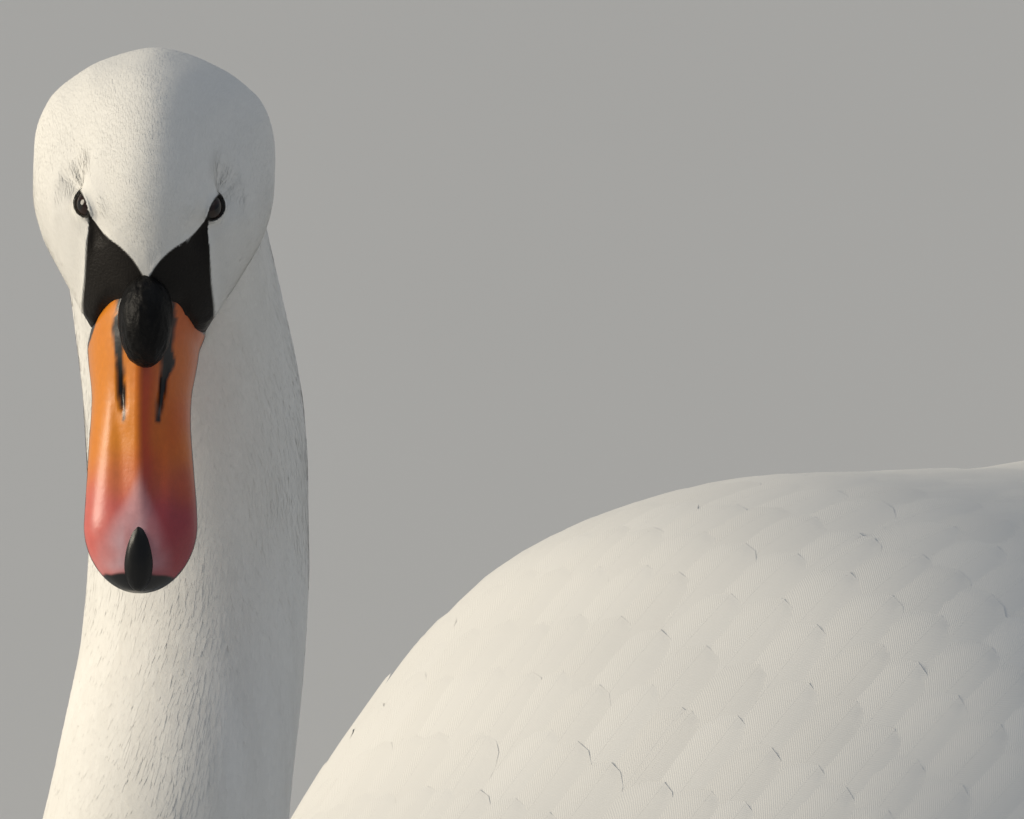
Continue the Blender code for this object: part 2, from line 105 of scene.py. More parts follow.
# %% Selecting, applying, copying
def pick(*objects):
    """Selects these objects and nothing else; the last one is active."""
    bpy.ops.object.select_all(action="DESELECT")
    for obj in objects:
        obj.select_set(True)
    bpy.context.view_layer.objects.active = objects[-1]


def apply(obj, kind, **settings):
    """Adds a modifier with these settings and makes its result the mesh."""
    pick(obj)
    step = obj.modifiers.new(kind.title(), kind)
    for key, value in settings.items():
        setattr(step, key, value)
    bpy.ops.object.modifier_apply(modifier=step.name)


def merge(obj, distance=0.001 * MM):
    """Merges vertices that lie together and turns all faces outwards."""
    pick(obj)
    bpy.ops.object.mode_set(mode="EDIT")
    bpy.ops.mesh.select_all(action="SELECT")
    bpy.ops.mesh.remove_doubles(threshold=distance)
    bpy.ops.mesh.normals_make_consistent(inside=False)
    bpy.ops.object.mode_set(mode="OBJECT")


def numbers(items, field, each=3, kind=np.float32):
    """One field of all vertices, edges or faces, as the rows of an array."""
    flat = np.empty(len(items) * each, kind)
    items.foreach_get(field, flat)
    return flat.reshape(-1, each)


def places(obj):
    """Where the vertices are."""
    return numbers(obj.data.vertices, "co").astype(float)


def normals_of(obj):
    """The smooth normals at the vertices."""
    return numbers(obj.data.vertex_normals, "vector").astype(float)


def face_centres(obj):
    """Where the middles of the faces are."""
    return numbers(obj.data.polygons, "center").astype(float)


def triangles_in(obj):
    return sum(len(face.vertices) - 2 for face in obj.data.polygons)


def move_to(obj, points):
    """Puts the vertices at these positions."""
    obj.data.vertices.foreach_set("co", np.asarray(points, np.float32).ravel())
    obj.data.update()


def copy_of(name, nodes, grow=0.0):
    """One closed piece from copies of solids, each grown a little so that they run together."""
    copies = []
    for node in nodes:
        piece = bpy.data.objects.new(name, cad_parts[node].data.copy())
        bpy.context.collection.objects.link(piece)
        merge(piece)
        move_to(piece, places(piece) + normals_of(piece) * grow)
        copies.append(piece)
    pick(*copies)
    if len(copies) > 1:
        bpy.ops.object.join()
    whole = bpy.context.view_layer.objects.active
    whole.data.materials.clear()
    whole.name = whole.data.name = name
    return whole


# %% [markdown]
# ## Numbers that vary smoothly
# Feathers get longer from the face to the breast, and colours fade into each other. A row of named
# stations with a smooth curve through them says this in one line. Grain is a smooth random value in
# space, always the same for the same place, so the bird looks the same each time the script runs.

# %% Curves and grain
def ramp(x, low, high):
    """0 below low, 1 above high, and a soft step between."""
    t = np.clip((np.asarray(x, float) - low) / (high - low), 0, 1)
    return t * t * (3 - 2 * t)


def through(stations, x):
    """Values at x of a smooth curve through stations (x, value, ...)."""
    rows = np.array(stations, float)
    xs, ys = rows[:, 0], rows[:, 1:]
    slope = np.gradient(ys, xs, axis=0)
    x = np.clip(np.asarray(x, float), xs[0], xs[-1])
    i = np.clip(np.searchsorted(xs, x) - 1, 0, len(xs) - 2)
    h = (xs[i + 1] - xs[i])[..., None]
    t = (x - xs[i])[..., None] / h
    a, b, c = 2 * t**3 - 3 * t**2 + 1, t**3 - 2 * t**2 + t, t**3 - t**2
    value = a * ys[i] + b * h * slope[i] + (1 - a) * ys[i + 1] + c * h * slope[i + 1]
    return value[..., 0] if ys.shape[1] == 1 else np.moveaxis(value, -1, 0)


SEED_STEP = 7.31  # how far one seed's field of grain lies from the next
HASH_PRIMES, HASH_MIX, HASH_MASK = (73856093, 19349663, 83492791), 1274126177, 0xFFFFFF


def grain(points, size, seed=0):
    """Smooth random values from -1 to 1 that change over about this size."""
    q = np.asarray(points, float) / size + seed * SEED_STEP
    cell = np.floor(q).astype(np.int64)
    f = q - cell
    f = f * f * (3 - 2 * f)
    total = np.zeros(len(q))
    for corner in np.ndindex(2, 2, 2):
        code = np.bitwise_xor.reduce((cell + corner) * HASH_PRIMES, axis=1)
        code = ((code ^ (code >> 13)) * HASH_MIX) & HASH_MASK
        share = np.prod(np.where(corner, f, 1 - f), axis=1)
        total += share * (code / (HASH_MASK // 2) - 1)
    return total


def unit(vectors):
    """The same directions, one unit long."""
    return vectors / np.maximum(np.linalg.norm(vectors, axis=-1, keepdims=True), 1e-12)


def even_out(obj, values, rounds):
    """Averages a value at each vertex with its neighbours', this many times."""
    a, b = numbers(obj.data.edges, "vertices", 2, np.int32).T
    count = np.bincount(np.concatenate([a, b]), minlength=len(values))
    for _ in range(rounds):
        total = np.bincount(a, values[b], len(values)) + np.bincount(b, values[a], len(values))
        values = (values + total / np.maximum(count, 1)) / 2
    return values


# %% [markdown]
# ## The line that the plumage follows
# Feathers lie away from the bill: back over the head, down the neck, and on to the tail. A line
# through the middle of the bird gives that direction everywhere. Its length also says which part of
# the bird a place belongs to, and the angle around it gives a map of the whole skin: one way round
# the body, the other way along it.

# %% The middle line
SPINE = [
    *from_head(0, [128, 80, 30, 0, -30], [-40, -30, -24, -20, -22]),
    middle("neck_upper"), middle("neck_middle"), middle("neck_lower"),
    middle("trunk") + Vector((0, -0.215, 0.045)), middle("trunk") + Vector((0, -0.12, -0.01)),
    middle("trunk"), middle("trunk") + Vector((0, 0.20, 0.01)), middle("tail") - Vector((0, 0.06, 0.005)),
    middle("tail") + Vector((0, 0.09, 0)),
]


def smooth_line(points, count):
    """A curve through the points, as this many points the same distance apart."""
    rows = np.array([tuple(p) for p in points], float)
    where = np.arange(len(rows), dtype=float)
    fine = np.stack(through(np.column_stack([where, rows]), np.linspace(0, len(rows) - 1, count * 8)), -1)
    run = np.concatenate([[0], np.cumsum(np.linalg.norm(np.diff(fine, axis=0), axis=1))])
    even = np.linspace(0, run[-1], count)
    return np.stack([np.interp(even, run, fine[:, k]) for k in range(3)], -1), even


LINE_STEPS = 220
LINE_BLUR, LINE_CORE = 0.12, 4 * MM  # how much of the line a place belongs to: more, the further out it is
AT_A_TIME = 20000  # places worked out together
line_points, line_run = smooth_line(SPINE, LINE_STEPS)
line_ways = unit(np.gradient(line_points, axis=0))


def along_line(points):
    """For each point: how far along the middle line it is, the line's way there, and the angle around it."""
    run, ways, angles = [], [], []
    for part in np.array_split(np.asarray(points, float), max(1, len(points) // AT_A_TIME)):
        offset = part[:, None] - line_points[None]
        square = (offset**2).sum(-1)
        nearest = square.min(1, keepdims=True)
        share = np.exp(-(square - nearest) / (2 * LINE_BLUR * nearest + LINE_CORE**2))
        share /= share.sum(1, keepdims=True)
        way = unit(share @ line_ways)
        centre = share @ line_points
        left = unit(np.cross(way, np.cross((1.0, 0.0, 0.0), way)))
        out = part - centre
        run.append(share @ line_run)
        ways.append(way)
        angles.append(np.arctan2((out * left).sum(1), (out * np.cross(way, left)).sum(1)))
    return np.concatenate(run), np.concatenate(ways), np.concatenate(angles)


def run_at(point):
    return float(along_line(np.array([tuple(point)]))[0][0])


RUN_FACE, RUN_NAPE = run_at(from_head(0, 0, -20)), run_at(from_head(0, -50, -22))
RUN_NECK, RUN_BREAST = run_at(middle("neck_middle")), run_at(middle("neck_lower"))
RUN_BODY = run_at(middle("trunk"))
print("middle line", round(line_run[-1], 3), "m; eyes at", round(RUN_FACE, 3), "nape", round(RUN_NAPE, 3),
      "neck", round(RUN_NECK, 3), "breast", round(RUN_BREAST, 3), "body", round(RUN_BODY, 3))

# %% [markdown]
# ## Markings
# A mute swan is white all over, except for the bare black skin between the eye and the bill. Its
# edges are three lines in the head's frame: the forehead's feathers end in a point above the knob,
# a straight edge runs from the eye to the corner of the mouth, and a thin black ring goes round the
# eye. The skin's colour and the planting of the feathers both ask this one function.

# %% The bare black skin
BASE_SLANT = 0.2126  # marks on the head lean forward below by this much
FOREHEAD = [  # reach, half width of the forehead's feathers
    (-4, 24.0), (0, 21.5), (4, 19.4), (8, 16.6), (11, 14.0), (14.5, 9.2), (18.5, 5.0), (21.5, 2.8), (26.4, 0),
]
LORE_EDGE = [  # reach, how far to the side the black goes
    (-6, 27.0), (-2, 23.2), (4, 20.9), (15, 21.2), (26, 21.7), (36, 22.6), (41, 22.4), (47, 20.4),
]
LORE_REAR = -3.5  # the reach at which the black ends behind the eye
MOUTH_LINE_FROM, MOUTH_LINE_TO = (5, -5.5), (36, -38.0)  # the black's lower edge, as ahead and up
EYE_SPOT, SEEN_RADIUS = (19.3, -0.6, -2.2), 5.8  # middle of the left eyeball as it is shown, and its radius
EYE_LOOK = (0.76, 0.20, 0.60)  # where an eye points: side, ahead, up
EYE_CORNERS = (-0.36, 1.0, 0.36)  # the way from the rear corner of the lids to the front one
LID_OPEN = 31.0  # half the angle of the lid opening seen from the middle of the eye
EYE_RING = 1.2  # the black ring, in lid openings
RING_SLOPE, RING_DEPTH = 4.0, 9.0  # mm for each lid opening, and how far down the ring counts
RING_FADE = (1.35 * SEEN_RADIUS, 2.2 * SEEN_RADIUS)  # where it stops counting at all, from the eye's middle


def mirrored(vector, sign):
    """A vector of the left side, for each place on its own side."""
    return np.stack([sign * vector[0], 0 * sign + vector[1], 0 * sign + vector[2]], -1)


def eye_polar(local):
    """For head places: distance from the nearer eye's middle, and the angle off its look in lid openings."""
    sign = np.where(local[:, 0] < 0, -1.0, 1.0)
    offset = local - mirrored(EYE_SPOT, sign)
    look = unit(mirrored(EYE_LOOK, sign))
    away = np.linalg.norm(offset, axis=1)
    out = unit(offset)
    angle = np.degrees(np.arccos(np.clip((out * look).sum(1), -1, 1)))
    corner = unit(np.cross(look, np.cross(mirrored(EYE_CORNERS, sign), look)))
    forward = (unit(out - look * (out * look).sum(1)[:, None]) * corner).sum(1)
    almond = LID_OPEN * (0.92 + 0.26 * forward**2 + 0.20 * forward**6 + 0.30 * np.maximum(-forward, 0) ** 12)
    return away, angle / almond, out, sign


def reach_of(local):
    """How far ahead a head place is, counted along the slant of the marks."""
    return local[:, 1] - BASE_SLANT * local[:, 2]


def bare_edge(local):
    """How far inside the bare skin a head place is, in mm; below 0 it is feathered."""
    side, ahead, up = np.abs(local[:, 0]), local[:, 1], local[:, 2]
    reach = reach_of(local)
    from_edge = through(LORE_EDGE, reach) - side
    inside = np.minimum(side - through(FOREHEAD, reach), from_edge)
    past_point = reach - FOREHEAD[-1][0]
    inside = np.where(past_point > 0, np.maximum(inside, np.minimum(past_point, from_edge)), inside)
    (first, first_up), (last, last_up) = MOUTH_LINE_FROM, MOUTH_LINE_TO
    lower_line = up - (first_up + (last_up - first_up) * np.clip((ahead - first) / (last - first), 0, 1.1))
    inside = np.min([inside, lower_line, reach - LORE_REAR], axis=0)
    away, opening, _, _ = eye_polar(local)
    ring = np.maximum((EYE_RING - opening) * RING_SLOPE, -RING_DEPTH) - RING_DEPTH * ramp(away, *RING_FADE)
    return np.maximum(inside, ring)


# %% [markdown]
# ## The skin
# Under its feathers a swan has one skin from the bill to the tail. The solids of the trunk, neck and
# head are copied, grown so that they overlap, and remeshed into one sheet, which is smoothed and then
# let in under the solids' surface by the depth of the coat: a hair's breadth on the bare face, a
# millimetre or two on the neck, four on the body. The face is divided up to four times more, because
# lids and lores need small faces there and the belly doesn't.

# %% One sheet from the solids
SKIN_CELL = 4 * MM
FLESH = ["trunk", "neck_lower", "neck_middle", "neck_upper", "head"]
BILL_CUT = 44.0  # the skin ends inside the bill, this far ahead of the eyes
BILL_ROOM = (26, 28, -62)  # the bill lies nearer the middle, further ahead and higher than this
GROWN = 0.5 * MM

skin = copy_of("skin", FLESH + ["bill_upper", "bill_lower", "eye_left", "eye_right"], grow=GROWN)
apply(skin, "REMESH", mode="VOXEL", voxel_size=SKIN_CELL)
outline_tree = BVHTree.FromPolygons(
    (places(skin) - normals_of(skin) * GROWN).tolist(), [tuple(f.vertices) for f in skin.data.polygons]
)
apply(skin, "SMOOTH", factor=0.5, iterations=9)


def edit_faces(obj, chosen):
    """Goes into edit mode with these faces selected and no others."""
    pick(obj)
    bpy.ops.object.mode_set(mode="EDIT")
    bpy.ops.mesh.select_mode(type="FACE")
    bpy.ops.mesh.select_all(action="DESELECT")
    bpy.ops.object.mode_set(mode="OBJECT")
    obj.data.polygons.foreach_set("select", chosen)
    bpy.ops.object.mode_set(mode="EDIT")


side, ahead, up = to_head(face_centres(skin)).T
edit_faces(skin, (np.abs(side) < BILL_ROOM[0]) & (ahead > BILL_ROOM[1]) & (up > BILL_ROOM[2]))
bpy.ops.mesh.bisect(
    plane_co=tuple(from_head(0, BILL_CUT, 0)), plane_no=tuple(head_direction(0, 1, 0)),
    clear_outer=True, use_fill=True,
)
bpy.ops.object.mode_set(mode="OBJECT")
print("skin:", len(skin.data.vertices), "vertices")


# %% Finer faces on the head
def divide(obj, chosen):
    """Divides the chosen faces once, and eases the new ones."""
    edit_faces(obj, chosen)
    bpy.ops.mesh.subdivide(number_cuts=1)
    bpy.ops.mesh.vertices_smooth(factor=0.5, repeat=3)
    bpy.ops.object.mode_set(mode="OBJECT")


def eye_distance(local):
    """Distance from the middle of the nearer eye, in mm."""
    return np.linalg.norm(local - mirrored(EYE_SPOT, np.where(local[:, 0] < 0, -1.0, 1.0)), axis=1)


FACE_MIDDLE, FACE_RADIUS = (0, 0, -20), 66
FINER = [(7, -14, 15), (1.2, 2, 12)]  # mm from the black's edge, how far back, or mm from an eye
local = to_head(face_centres(skin))
divide(skin, np.linalg.norm(local - FACE_MIDDLE, axis=1) < FACE_RADIUS)
for from_black, rear, from_eye in FINER:
    local = to_head(face_centres(skin))
    at_edge = (np.abs(bare_edge(local)) < from_black) & (local[:, 1] > rear)
    divide(skin, at_edge | (eye_distance(local) < from_eye))
print("skin:", len(skin.data.vertices), "vertices after dividing the face")

# %% The depth of the coat
COAT_DEPTH = [  # run along the middle line, depth
    (RUN_FACE - 0.03, 0.7 * MM), (RUN_FACE, 0.9 * MM), (RUN_NAPE, 1.1 * MM), (RUN_NAPE + 0.06, 1.25 * MM),
    (RUN_NECK, 1.35 * MM), (RUN_BREAST, 2.1 * MM), (RUN_BREAST + 0.13, 3.6 * MM), (RUN_BODY, 4.2 * MM),
    (line_run[-1], 4.2 * MM),
]
BARE_DEPTH = 0.35 * MM
BILL_DEPTH = 3.5 * MM  # how much deeper the skin lies under the horn of the bill
SOLE_CLEAR = 3.2 * MM  # the skin's height over the floor under the belly
COAT_START, EYE_CLEAR = 4.0, (6.0, 12.0)  # over how many mm the coat deepens, from the black and from an eye
NAPE = (0, -46, -34)  # where the neck runs into the back of the head
BILL_EDGE_REACH = 31.9  # where the horn of the bill begins, in its middle
BILL_EDGE_LEFT, BILL_EDGE_RIGHT = (12.0, 1.8), (14.6, 2.9)  # from how far out it draws forward, and how fast


def feathered(local):
    """0 on the bare skin and by the eyes, rising to 1 a few millimetres into the feathers."""
    return ramp(-bare_edge(local), 0.0, COAT_START) * ramp(eye_distance(local), *EYE_CLEAR)


def bill_edge(local):
    """How far past the edge of the lores, on the horn of the bill, a head place is, in mm of reach."""
    begin, slope = np.where(local[:, :1] < 0, BILL_EDGE_RIGHT, BILL_EDGE_LEFT).T
    return reach_of(local) - BILL_EDGE_REACH - slope * np.maximum(np.abs(local[:, 0]) - begin, 0)


def coat_depth(points):
    """How deep the skin lies under the bird's outline."""
    run = along_line(points)[0]
    local = to_head(points)
    in_bill = ramp(bill_edge(local), -0.5, 2.5) * (np.abs(local[:, 0]) < 30) * (local[:, 2] > -60)
    return BARE_DEPTH + (through(COAT_DEPTH, run) - BARE_DEPTH) * feathered(local) + BILL_DEPTH * in_bill


def signed_distance(points, tree):
    """Distance of each point from a surface, above 0 outside it."""
    found = np.empty(len(points))
    for i, point in enumerate(points):
        spot, normal, _, distance = tree.find_nearest(point)
        found[i] = distance if (Vector(point) - spot).dot(normal) > 0 else -distance
    return found


MOST_MOVED, DEPTH_ROUNDS = 14 * MM, (14, 6)
CALM_ROUNDS = 70  # for the places that need an even surface: round the eyes and at the nape
for rounds in DEPTH_ROUNDS:
    points = places(skin)
    wanted = -coat_depth(points) - signed_distance(points.tolist(), outline_tree)
    wanted = even_out(skin, np.clip(wanted, -MOST_MOVED, MOST_MOVED), rounds)
    move_to(skin, points + normals_of(skin) * wanted[:, None])
points = places(skin)
points[:, 2] = np.maximum(points[:, 2], SOLE_CLEAR)
calm = np.stack([even_out(skin, points[:, k], CALM_ROUNDS) for k in range(3)], -1)
local = to_head(points)
by_eye = 1 - ramp(eye_distance(local), 8.0, 13.0)
at_nape = 1 - ramp(np.linalg.norm(local - NAPE, axis=1), 20, 40)
at_nape *= ramp(-local[:, 1], 22, 36) * ramp(-local[:, 2], 12, 26)
points += (calm - points) * np.maximum(by_eye, at_nape)[:, None]
move_to(skin, points)
under = -signed_distance(points[::50].tolist(), outline_tree) / MM
print("skin depth under the solids:", np.percentile(under, [5, 50, 95]).round(1), "mm")

# %% [markdown]
# ## Lids, the crease behind the eye and the lores
# The skin round each eye is drawn in towards the middle of the eye, so that it lies on the eyeball as
# a lid with a rounded rim, a fold behind the rim, and a hollow in front of the eye. Vertices inside
# the opening sink behind the eyeball. Moving vertices along rays from the middle of the eye keeps the
# sheet whole, which cutting a hole would not.

# %% Shape the lids
LID_GAP, LID_THICK = 0.12, 0.75  # mm over the eyeball
LID_ROUND = 0.16  # how soon the rim has its full thickness, in lid openings
FOLD_DEEP, FOLD_AT, FOLD_WIDE = 0.45, 1.42, 0.10  # mm, and where and how wide in lid openings
LID_REACH = 2.3  # where the lids have run out into the face, in lid openings
LID_CLEAR = 0.45  # the least skin over an eyeball
BEHIND_EYE = 0.80 * SEEN_RADIUS  # where the skin inside the opening goes
LID_NEAR, LID_CELL = 13, 0.35 * MM**2  # faces this near an eye and larger than this are divided again


def shape_lids(obj):
    """Draws the skin round both eyes in to lids, folds and what lies behind the eyeballs."""
    local = to_head(places(obj))
    away, opening, out, sign = eye_polar(local)
    near = (away < 2.6 * SEEN_RADIUS) & (opening < LID_REACH)
    rim = SEEN_RADIUS + LID_GAP + LID_THICK * np.sin(np.pi / 2 * np.clip((opening - 1) / LID_ROUND, 0, 1))
    lid = rim - FOLD_DEEP * np.exp(-(((opening - FOLD_AT) / FOLD_WIDE) ** 2))
    blend = ramp(opening, 1.25, LID_REACH)
    covering = np.maximum(away, SEEN_RADIUS + LID_CLEAR)
    shaped = np.where(opening < 1, BEHIND_EYE, lid * (1 - blend) + covering * blend)
    moved = mirrored(EYE_SPOT, sign) + out * shaped[:, None]
    local[near] = moved[near]
    move_to(obj, from_head(*local.T))


shape_lids(skin)
areas = numbers(skin.data.polygons, "area", 1)[:, 0]
divide(skin, (eye_distance(to_head(face_centres(skin))) < LID_NEAR) & (areas > LID_CELL))
shape_lids(skin)


def crease(local):
    """How far the skin is drawn in, 0 to 1, along the line from the eye's rear corner to the cheek's back."""
    along = np.clip((-6 - local[:, 1]) / 34, 0, 1)
    line_side, line_up = 23.5 + 7.5 * along, 4.5 - 6.5 * along
    off = np.hypot(np.abs(local[:, 0]) - line_side, local[:, 2] - line_up)
    return np.exp(-((off / 6.5) ** 2)) * ramp(along, 0.0, 0.12) * (1 - ramp(along, 0.6, 1.0))


HOLLOW_DEEP, HOLLOW_SPOT, HOLLOW_SPREAD = 0.8, (18, 12), (4.5, 7)  # mm; the spot is beside and ahead
CREASE_DEEP = 0.35
local = to_head(places(skin))
off = (np.stack([np.abs(local[:, 0]), local[:, 1]], -1) - HOLLOW_SPOT) / HOLLOW_SPREAD
hollow = np.exp(-(off**2).sum(1)) * ramp(bare_edge(local), 0, 2)
on_face = (np.abs(local[:, 1]) < 60) & (local[:, 2] > -30)
sunk = (HOLLOW_DEEP * hollow + CREASE_DEEP * crease(local)) * on_face
move_to(skin, places(skin) - normals_of(skin) * sunk[:, None] * MM)
local = to_head(places(skin))
away, opening, out, sign = eye_polar(local)
over = (opening > 1.1) & (away < SEEN_RADIUS + LID_CLEAR)
local[over] = (mirrored(EYE_SPOT, sign) + out * (SEEN_RADIUS + LID_CLEAR))[over]
move_to(skin, from_head(*local.T))
pick(skin)
bpy.ops.object.shade_smooth()
print("lids shaped;", len(skin.data.vertices), "vertices,", triangles_in(skin), "triangles")

# %% [markdown]
# ## Finishes
# A finish is built from a few nodes: a colour that each vertex carries, a little noise to break it up,
# and a bump. Where the colour lies is worked out once, in the head's frame, and painted on the mesh as
# an attribute, so that the marks stay with the surface.

# %% Building a finish
def finish_of(name, roughness, coat=0.0, coat_roughness=0.1, sheen=0.0, specular=0.5):
    """A new material: its node tree and its shader."""
    made = bpy.data.materials.new(name)
    made.use_nodes = True
    shader = made.node_tree.nodes["Principled BSDF"]
    shader.inputs["Roughness"].default_value = roughness
    shader.inputs["Specular IOR Level"].default_value = specular
    shader.inputs["Coat Weight"].default_value = coat
    shader.inputs["Coat Roughness"].default_value = coat_roughness
    shader.inputs["Sheen Weight"].default_value = sheen
    return made, made.node_tree, shader


NOISE_DETAIL = 3.0


def add_node(tree, kind, **settings):
    """A new node; each setting is the value of an input or else of a property."""
    node = tree.nodes.new(kind)
    for key, value in settings.items():
        if key in node.inputs:
            node.inputs[key].default_value = value
        else:
            setattr(node, key, value)
    return node


def noise_on_object(tree, scale):
    """Noise in the piece's own space."""
    where = add_node(tree, "ShaderNodeTexCoord")
    noise = add_node(tree, "ShaderNodeTexNoise", Scale=scale, Detail=NOISE_DETAIL)
    tree.links.new(where.outputs["Object"], noise.inputs["Vector"])
    return noise.outputs["Fac"]


def painted(tree, value, darkest, lightest):
    """The colour painted on the mesh, made darker and lighter by a value from 0 to 1."""
    colour = add_node(tree, "ShaderNodeVertexColor", layer_name="paint")
    scale = add_node(tree, "ShaderNodeMapRange")
    scale.inputs["To Min"].default_value, scale.inputs["To Max"].default_value = darkest, lightest
    scaled = add_node(tree, "ShaderNodeVectorMath", operation="SCALE")
    tree.links.new(value, scale.inputs["Value"])
    tree.links.new(colour.outputs["Color"], scaled.inputs[0])
    tree.links.new(scale.outputs["Result"], scaled.inputs["Scale"])
    return scaled.outputs["Vector"]


def add_bump(tree, shader, height, distance):
    """Bump from a height of 0 to 1, where 1 stands this far over the surface."""
    bump = add_node(tree, "ShaderNodeBump", Strength=1.0, Distance=distance)
    tree.links.new(height, bump.inputs["Height"])
    tree.links.new(bump.outputs["Normal"], shader.inputs["Normal"])


def coloured_finish(name, roughness, size, depth, contrast, **gloss):
    """A finish whose colour is painted on the mesh, with grains of one size in colour and height."""
    made, tree, shader = finish_of(name, roughness, **gloss)
    value = noise_on_object(tree, 1 / size)
    tree.links.new(painted(tree, value, 1 - contrast, 1 + contrast), shader.inputs["Base Color"])
    add_bump(tree, shader, value, depth)
    return made


plumage = coloured_finish("plumage", 0.72, 3 * MM, 0.15 * MM, 0.03, sheen=0.12)
bare_skin = coloured_finish("bare_skin", 0.46, 0.9 * MM, 0.20 * MM, 0.35, specular=0.14)
bill_horn = coloured_finish("bill_horn", 0.36, 2.2 * MM, 0.10 * MM, 0.10, coat=0.25, coat_roughness=0.22)
black_horn = coloured_finish(
    "black_horn", 0.36, 1.5 * MM, 0.08 * MM, 0.25, coat=0.10, coat_roughness=0.2, specular=0.3
)
eye_gloss = coloured_finish(
    "eye_gloss", 0.15, 0.8 * MM, 0.002 * MM, 0.25, coat=0.5, coat_roughness=0.02, specular=0.2
)
foot_skin = coloured_finish("foot_skin", 0.55, 1.2 * MM, 0.25 * MM, 0.30)
floor_paint, floor_tree, floor_shader = finish_of("floor_paint", 0.8)
floor_grain = noise_on_object(floor_tree, 3.0)
floor_mix = add_node(floor_tree, "ShaderNodeValToRGB")
floor_mix.color_ramp.elements[0].color = (0.60, 0.60, 0.585, 1)
floor_mix.color_ramp.elements[1].color = (0.63, 0.63, 0.615, 1)
floor_tree.links.new(floor_grain, floor_mix.inputs["Fac"])
floor_tree.links.new(floor_mix.outputs["Color"], floor_shader.inputs["Base Color"])

FEATHER_WHITE = np.array((0.88, 0.86, 0.80))
FEATHER_SHADE = np.array((0.70, 0.675, 0.615))
BARE_BLACK = np.array((0.0065, 0.006, 0.0055))
HORN_BLACK = np.array((0.005, 0.005, 0.005))
LORE_BLACK = np.array((0.013, 0.011, 0.009))


def set_layer(obj, name, values):
    """Puts three values on each vertex, as an attribute that a finish can read."""
    layer = obj.data.attributes.get(name) or obj.data.attributes.new(name, "FLOAT_COLOR", "POINT")
    whole = np.ones((len(obj.data.vertices), 4), np.float32)
    whole[:, :3] = values
    layer.data.foreach_set("color", whole.ravel())


def paint(obj, colours, finish):
    """Puts one colour on all vertices or a colour on each, and the finish that shows it."""
    set_layer(obj, "paint", colours)
    obj.data.materials.clear()
    obj.data.materials.append(finish)


def mixed(first, second, share):
    """One colour fading into another by a share for each place."""
    share = np.asarray(share)[:, None]
    return first * (1 - share) + second * share


def feather_white(shade):
    """The plumage's white, a share of the way to its shade."""
    return mixed(FEATHER_WHITE, FEATHER_SHADE, np.clip(shade, 0, 1))


def place_piece(obj, slot, *nodes):
    """Ties a finished piece to the bird and hides the solids it stands for; slot is not used."""
    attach(obj, "root")
    if nodes:
        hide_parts(*nodes)
    print(obj.name, triangles_in(obj), "triangles")


# %% Paint the skin
points = places(skin)
white = feather_white(0.125 + 0.125 * grain(points, 14 * MM, 3))
paint(skin, mixed(white, LORE_BLACK, ramp(bare_edge(to_head(points)), -0.35, 0.35)), plumage)
skin.data.materials.append(bare_skin)
is_bare = bare_edge(to_head(face_centres(skin))) > 0
skin.data.polygons.foreach_set("material_index", is_bare.astype(np.int32))
place_piece(skin, "plumage", *FLESH)

# %% [markdown]
# ## Tubes and domes
# A bill, a knob, an eye and a claw are all closed tubes whose rings change size. A flat grid is added,
# one way round and the other way along, each vertex is put where a shape function says, and the seam
# and the poles are merged. One helper does this, and each piece only brings its own function.

# %% A closed tube from a grid
def tube(name, around, rings, shape):
    """A closed piece: shape(turn, run) gives world places for turns and runs from 0 to 1."""
    bpy.ops.object.select_all(action="DESELECT")
    bpy.ops.mesh.primitive_grid_add(x_subdivisions=around, y_subdivisions=rings, size=1)
    made = bpy.context.object
    made.name = made.data.name = name
    flat = places(made)
    move_to(made, shape(flat[:, 0] + 0.5, flat[:, 1] + 0.5))
    merge(made, 0.004 * MM)
    pick(made)
    bpy.ops.object.mode_set(mode="EDIT")
    bpy.ops.mesh.select_all(action="SELECT")
    bpy.ops.mesh.fill_holes(sides=0)
    bpy.ops.mesh.normals_make_consistent(inside=False)
    bpy.ops.object.mode_set(mode="OBJECT")
    bpy.ops.object.shade_smooth()
    return made


# %% [markdown]
# ## The bill
# A mute swan's bill is a sheath of horn: a rounded ridge runs down its middle from the knob to the
# nail, its sides fall like a roof, and the end is broad and flat. The slots of the nostrils lie beside
# the ridge near the knob. The upper half's outline is a few stations, ahead of the eyes in
# millimetres, and the dents and the nostrils are added to it by place.

# %% Upper half
BILL_ROOT, BILL_TIP, BILL_BASE = 22, 126.5, 31
UPPER_BILL = [  # ahead, half width, ridge, cutting edge, how full the roof is
    (22, 14.0, -8, -37.0, 1.8), (31, 19.0, -4.5, -37.5, 1.7), (42, 18.8, -8, -37.0, 1.6),
    (60, 16.9, -15.5, -36.5, 1.55), (80, 17.7, -22, -37.0, 1.6), (98, 19.0, -27, -39.0, 1.9),
    (108, 19.4, -29.5, -40.5, 2.2), (126.5, 19.2, -36, -44.5, 2.6),
]
RIDGE_HIGH, RIDGE_HALF = 1.0, 1.9  # the round ridge between the nostrils and the nail
TROUGH_DEEP, TROUGH_SIDE, TROUGH_HALF = 1.1, 6.4, 2.9  # the shallow trough on either side of it
LIP_OUT, LIP_HIGH = 0.35, 1.3  # the thin lip along the cutting edge
NOSTRIL_FROM, NOSTRIL_TO, NOSTRIL_WIDE, NOSTRIL_DEEP = 50.0, 68.0, 1.5, 1.9


def sway(ahead):
    """How far the bill's middle lies to the swan's left; its base is a little to the right."""
    return -1.85 * ramp(ahead, 30, 40) + 1.15 * ramp(ahead, 66, 104)


BASE_LEAN, LEAN_ABOUT, LEAN_TO = 0.21, -20, 62  # the bill's base leans, about this height, up to here


def leant(ahead, up):
    """Leans the stations of the base so that their lower part lies further forward."""
    return ahead + BASE_LEAN * (1 - ramp(ahead, BILL_BASE, LEAN_TO)) * (LEAN_ABOUT - up)


def rounded_end(ahead, end, length):
    """1 behind a round end of this length, falling to 0 at the end itself."""
    t = np.clip((end - ahead) / length, 0, 1)
    return np.sqrt(np.maximum(1 - (1 - t) ** 2, 0))


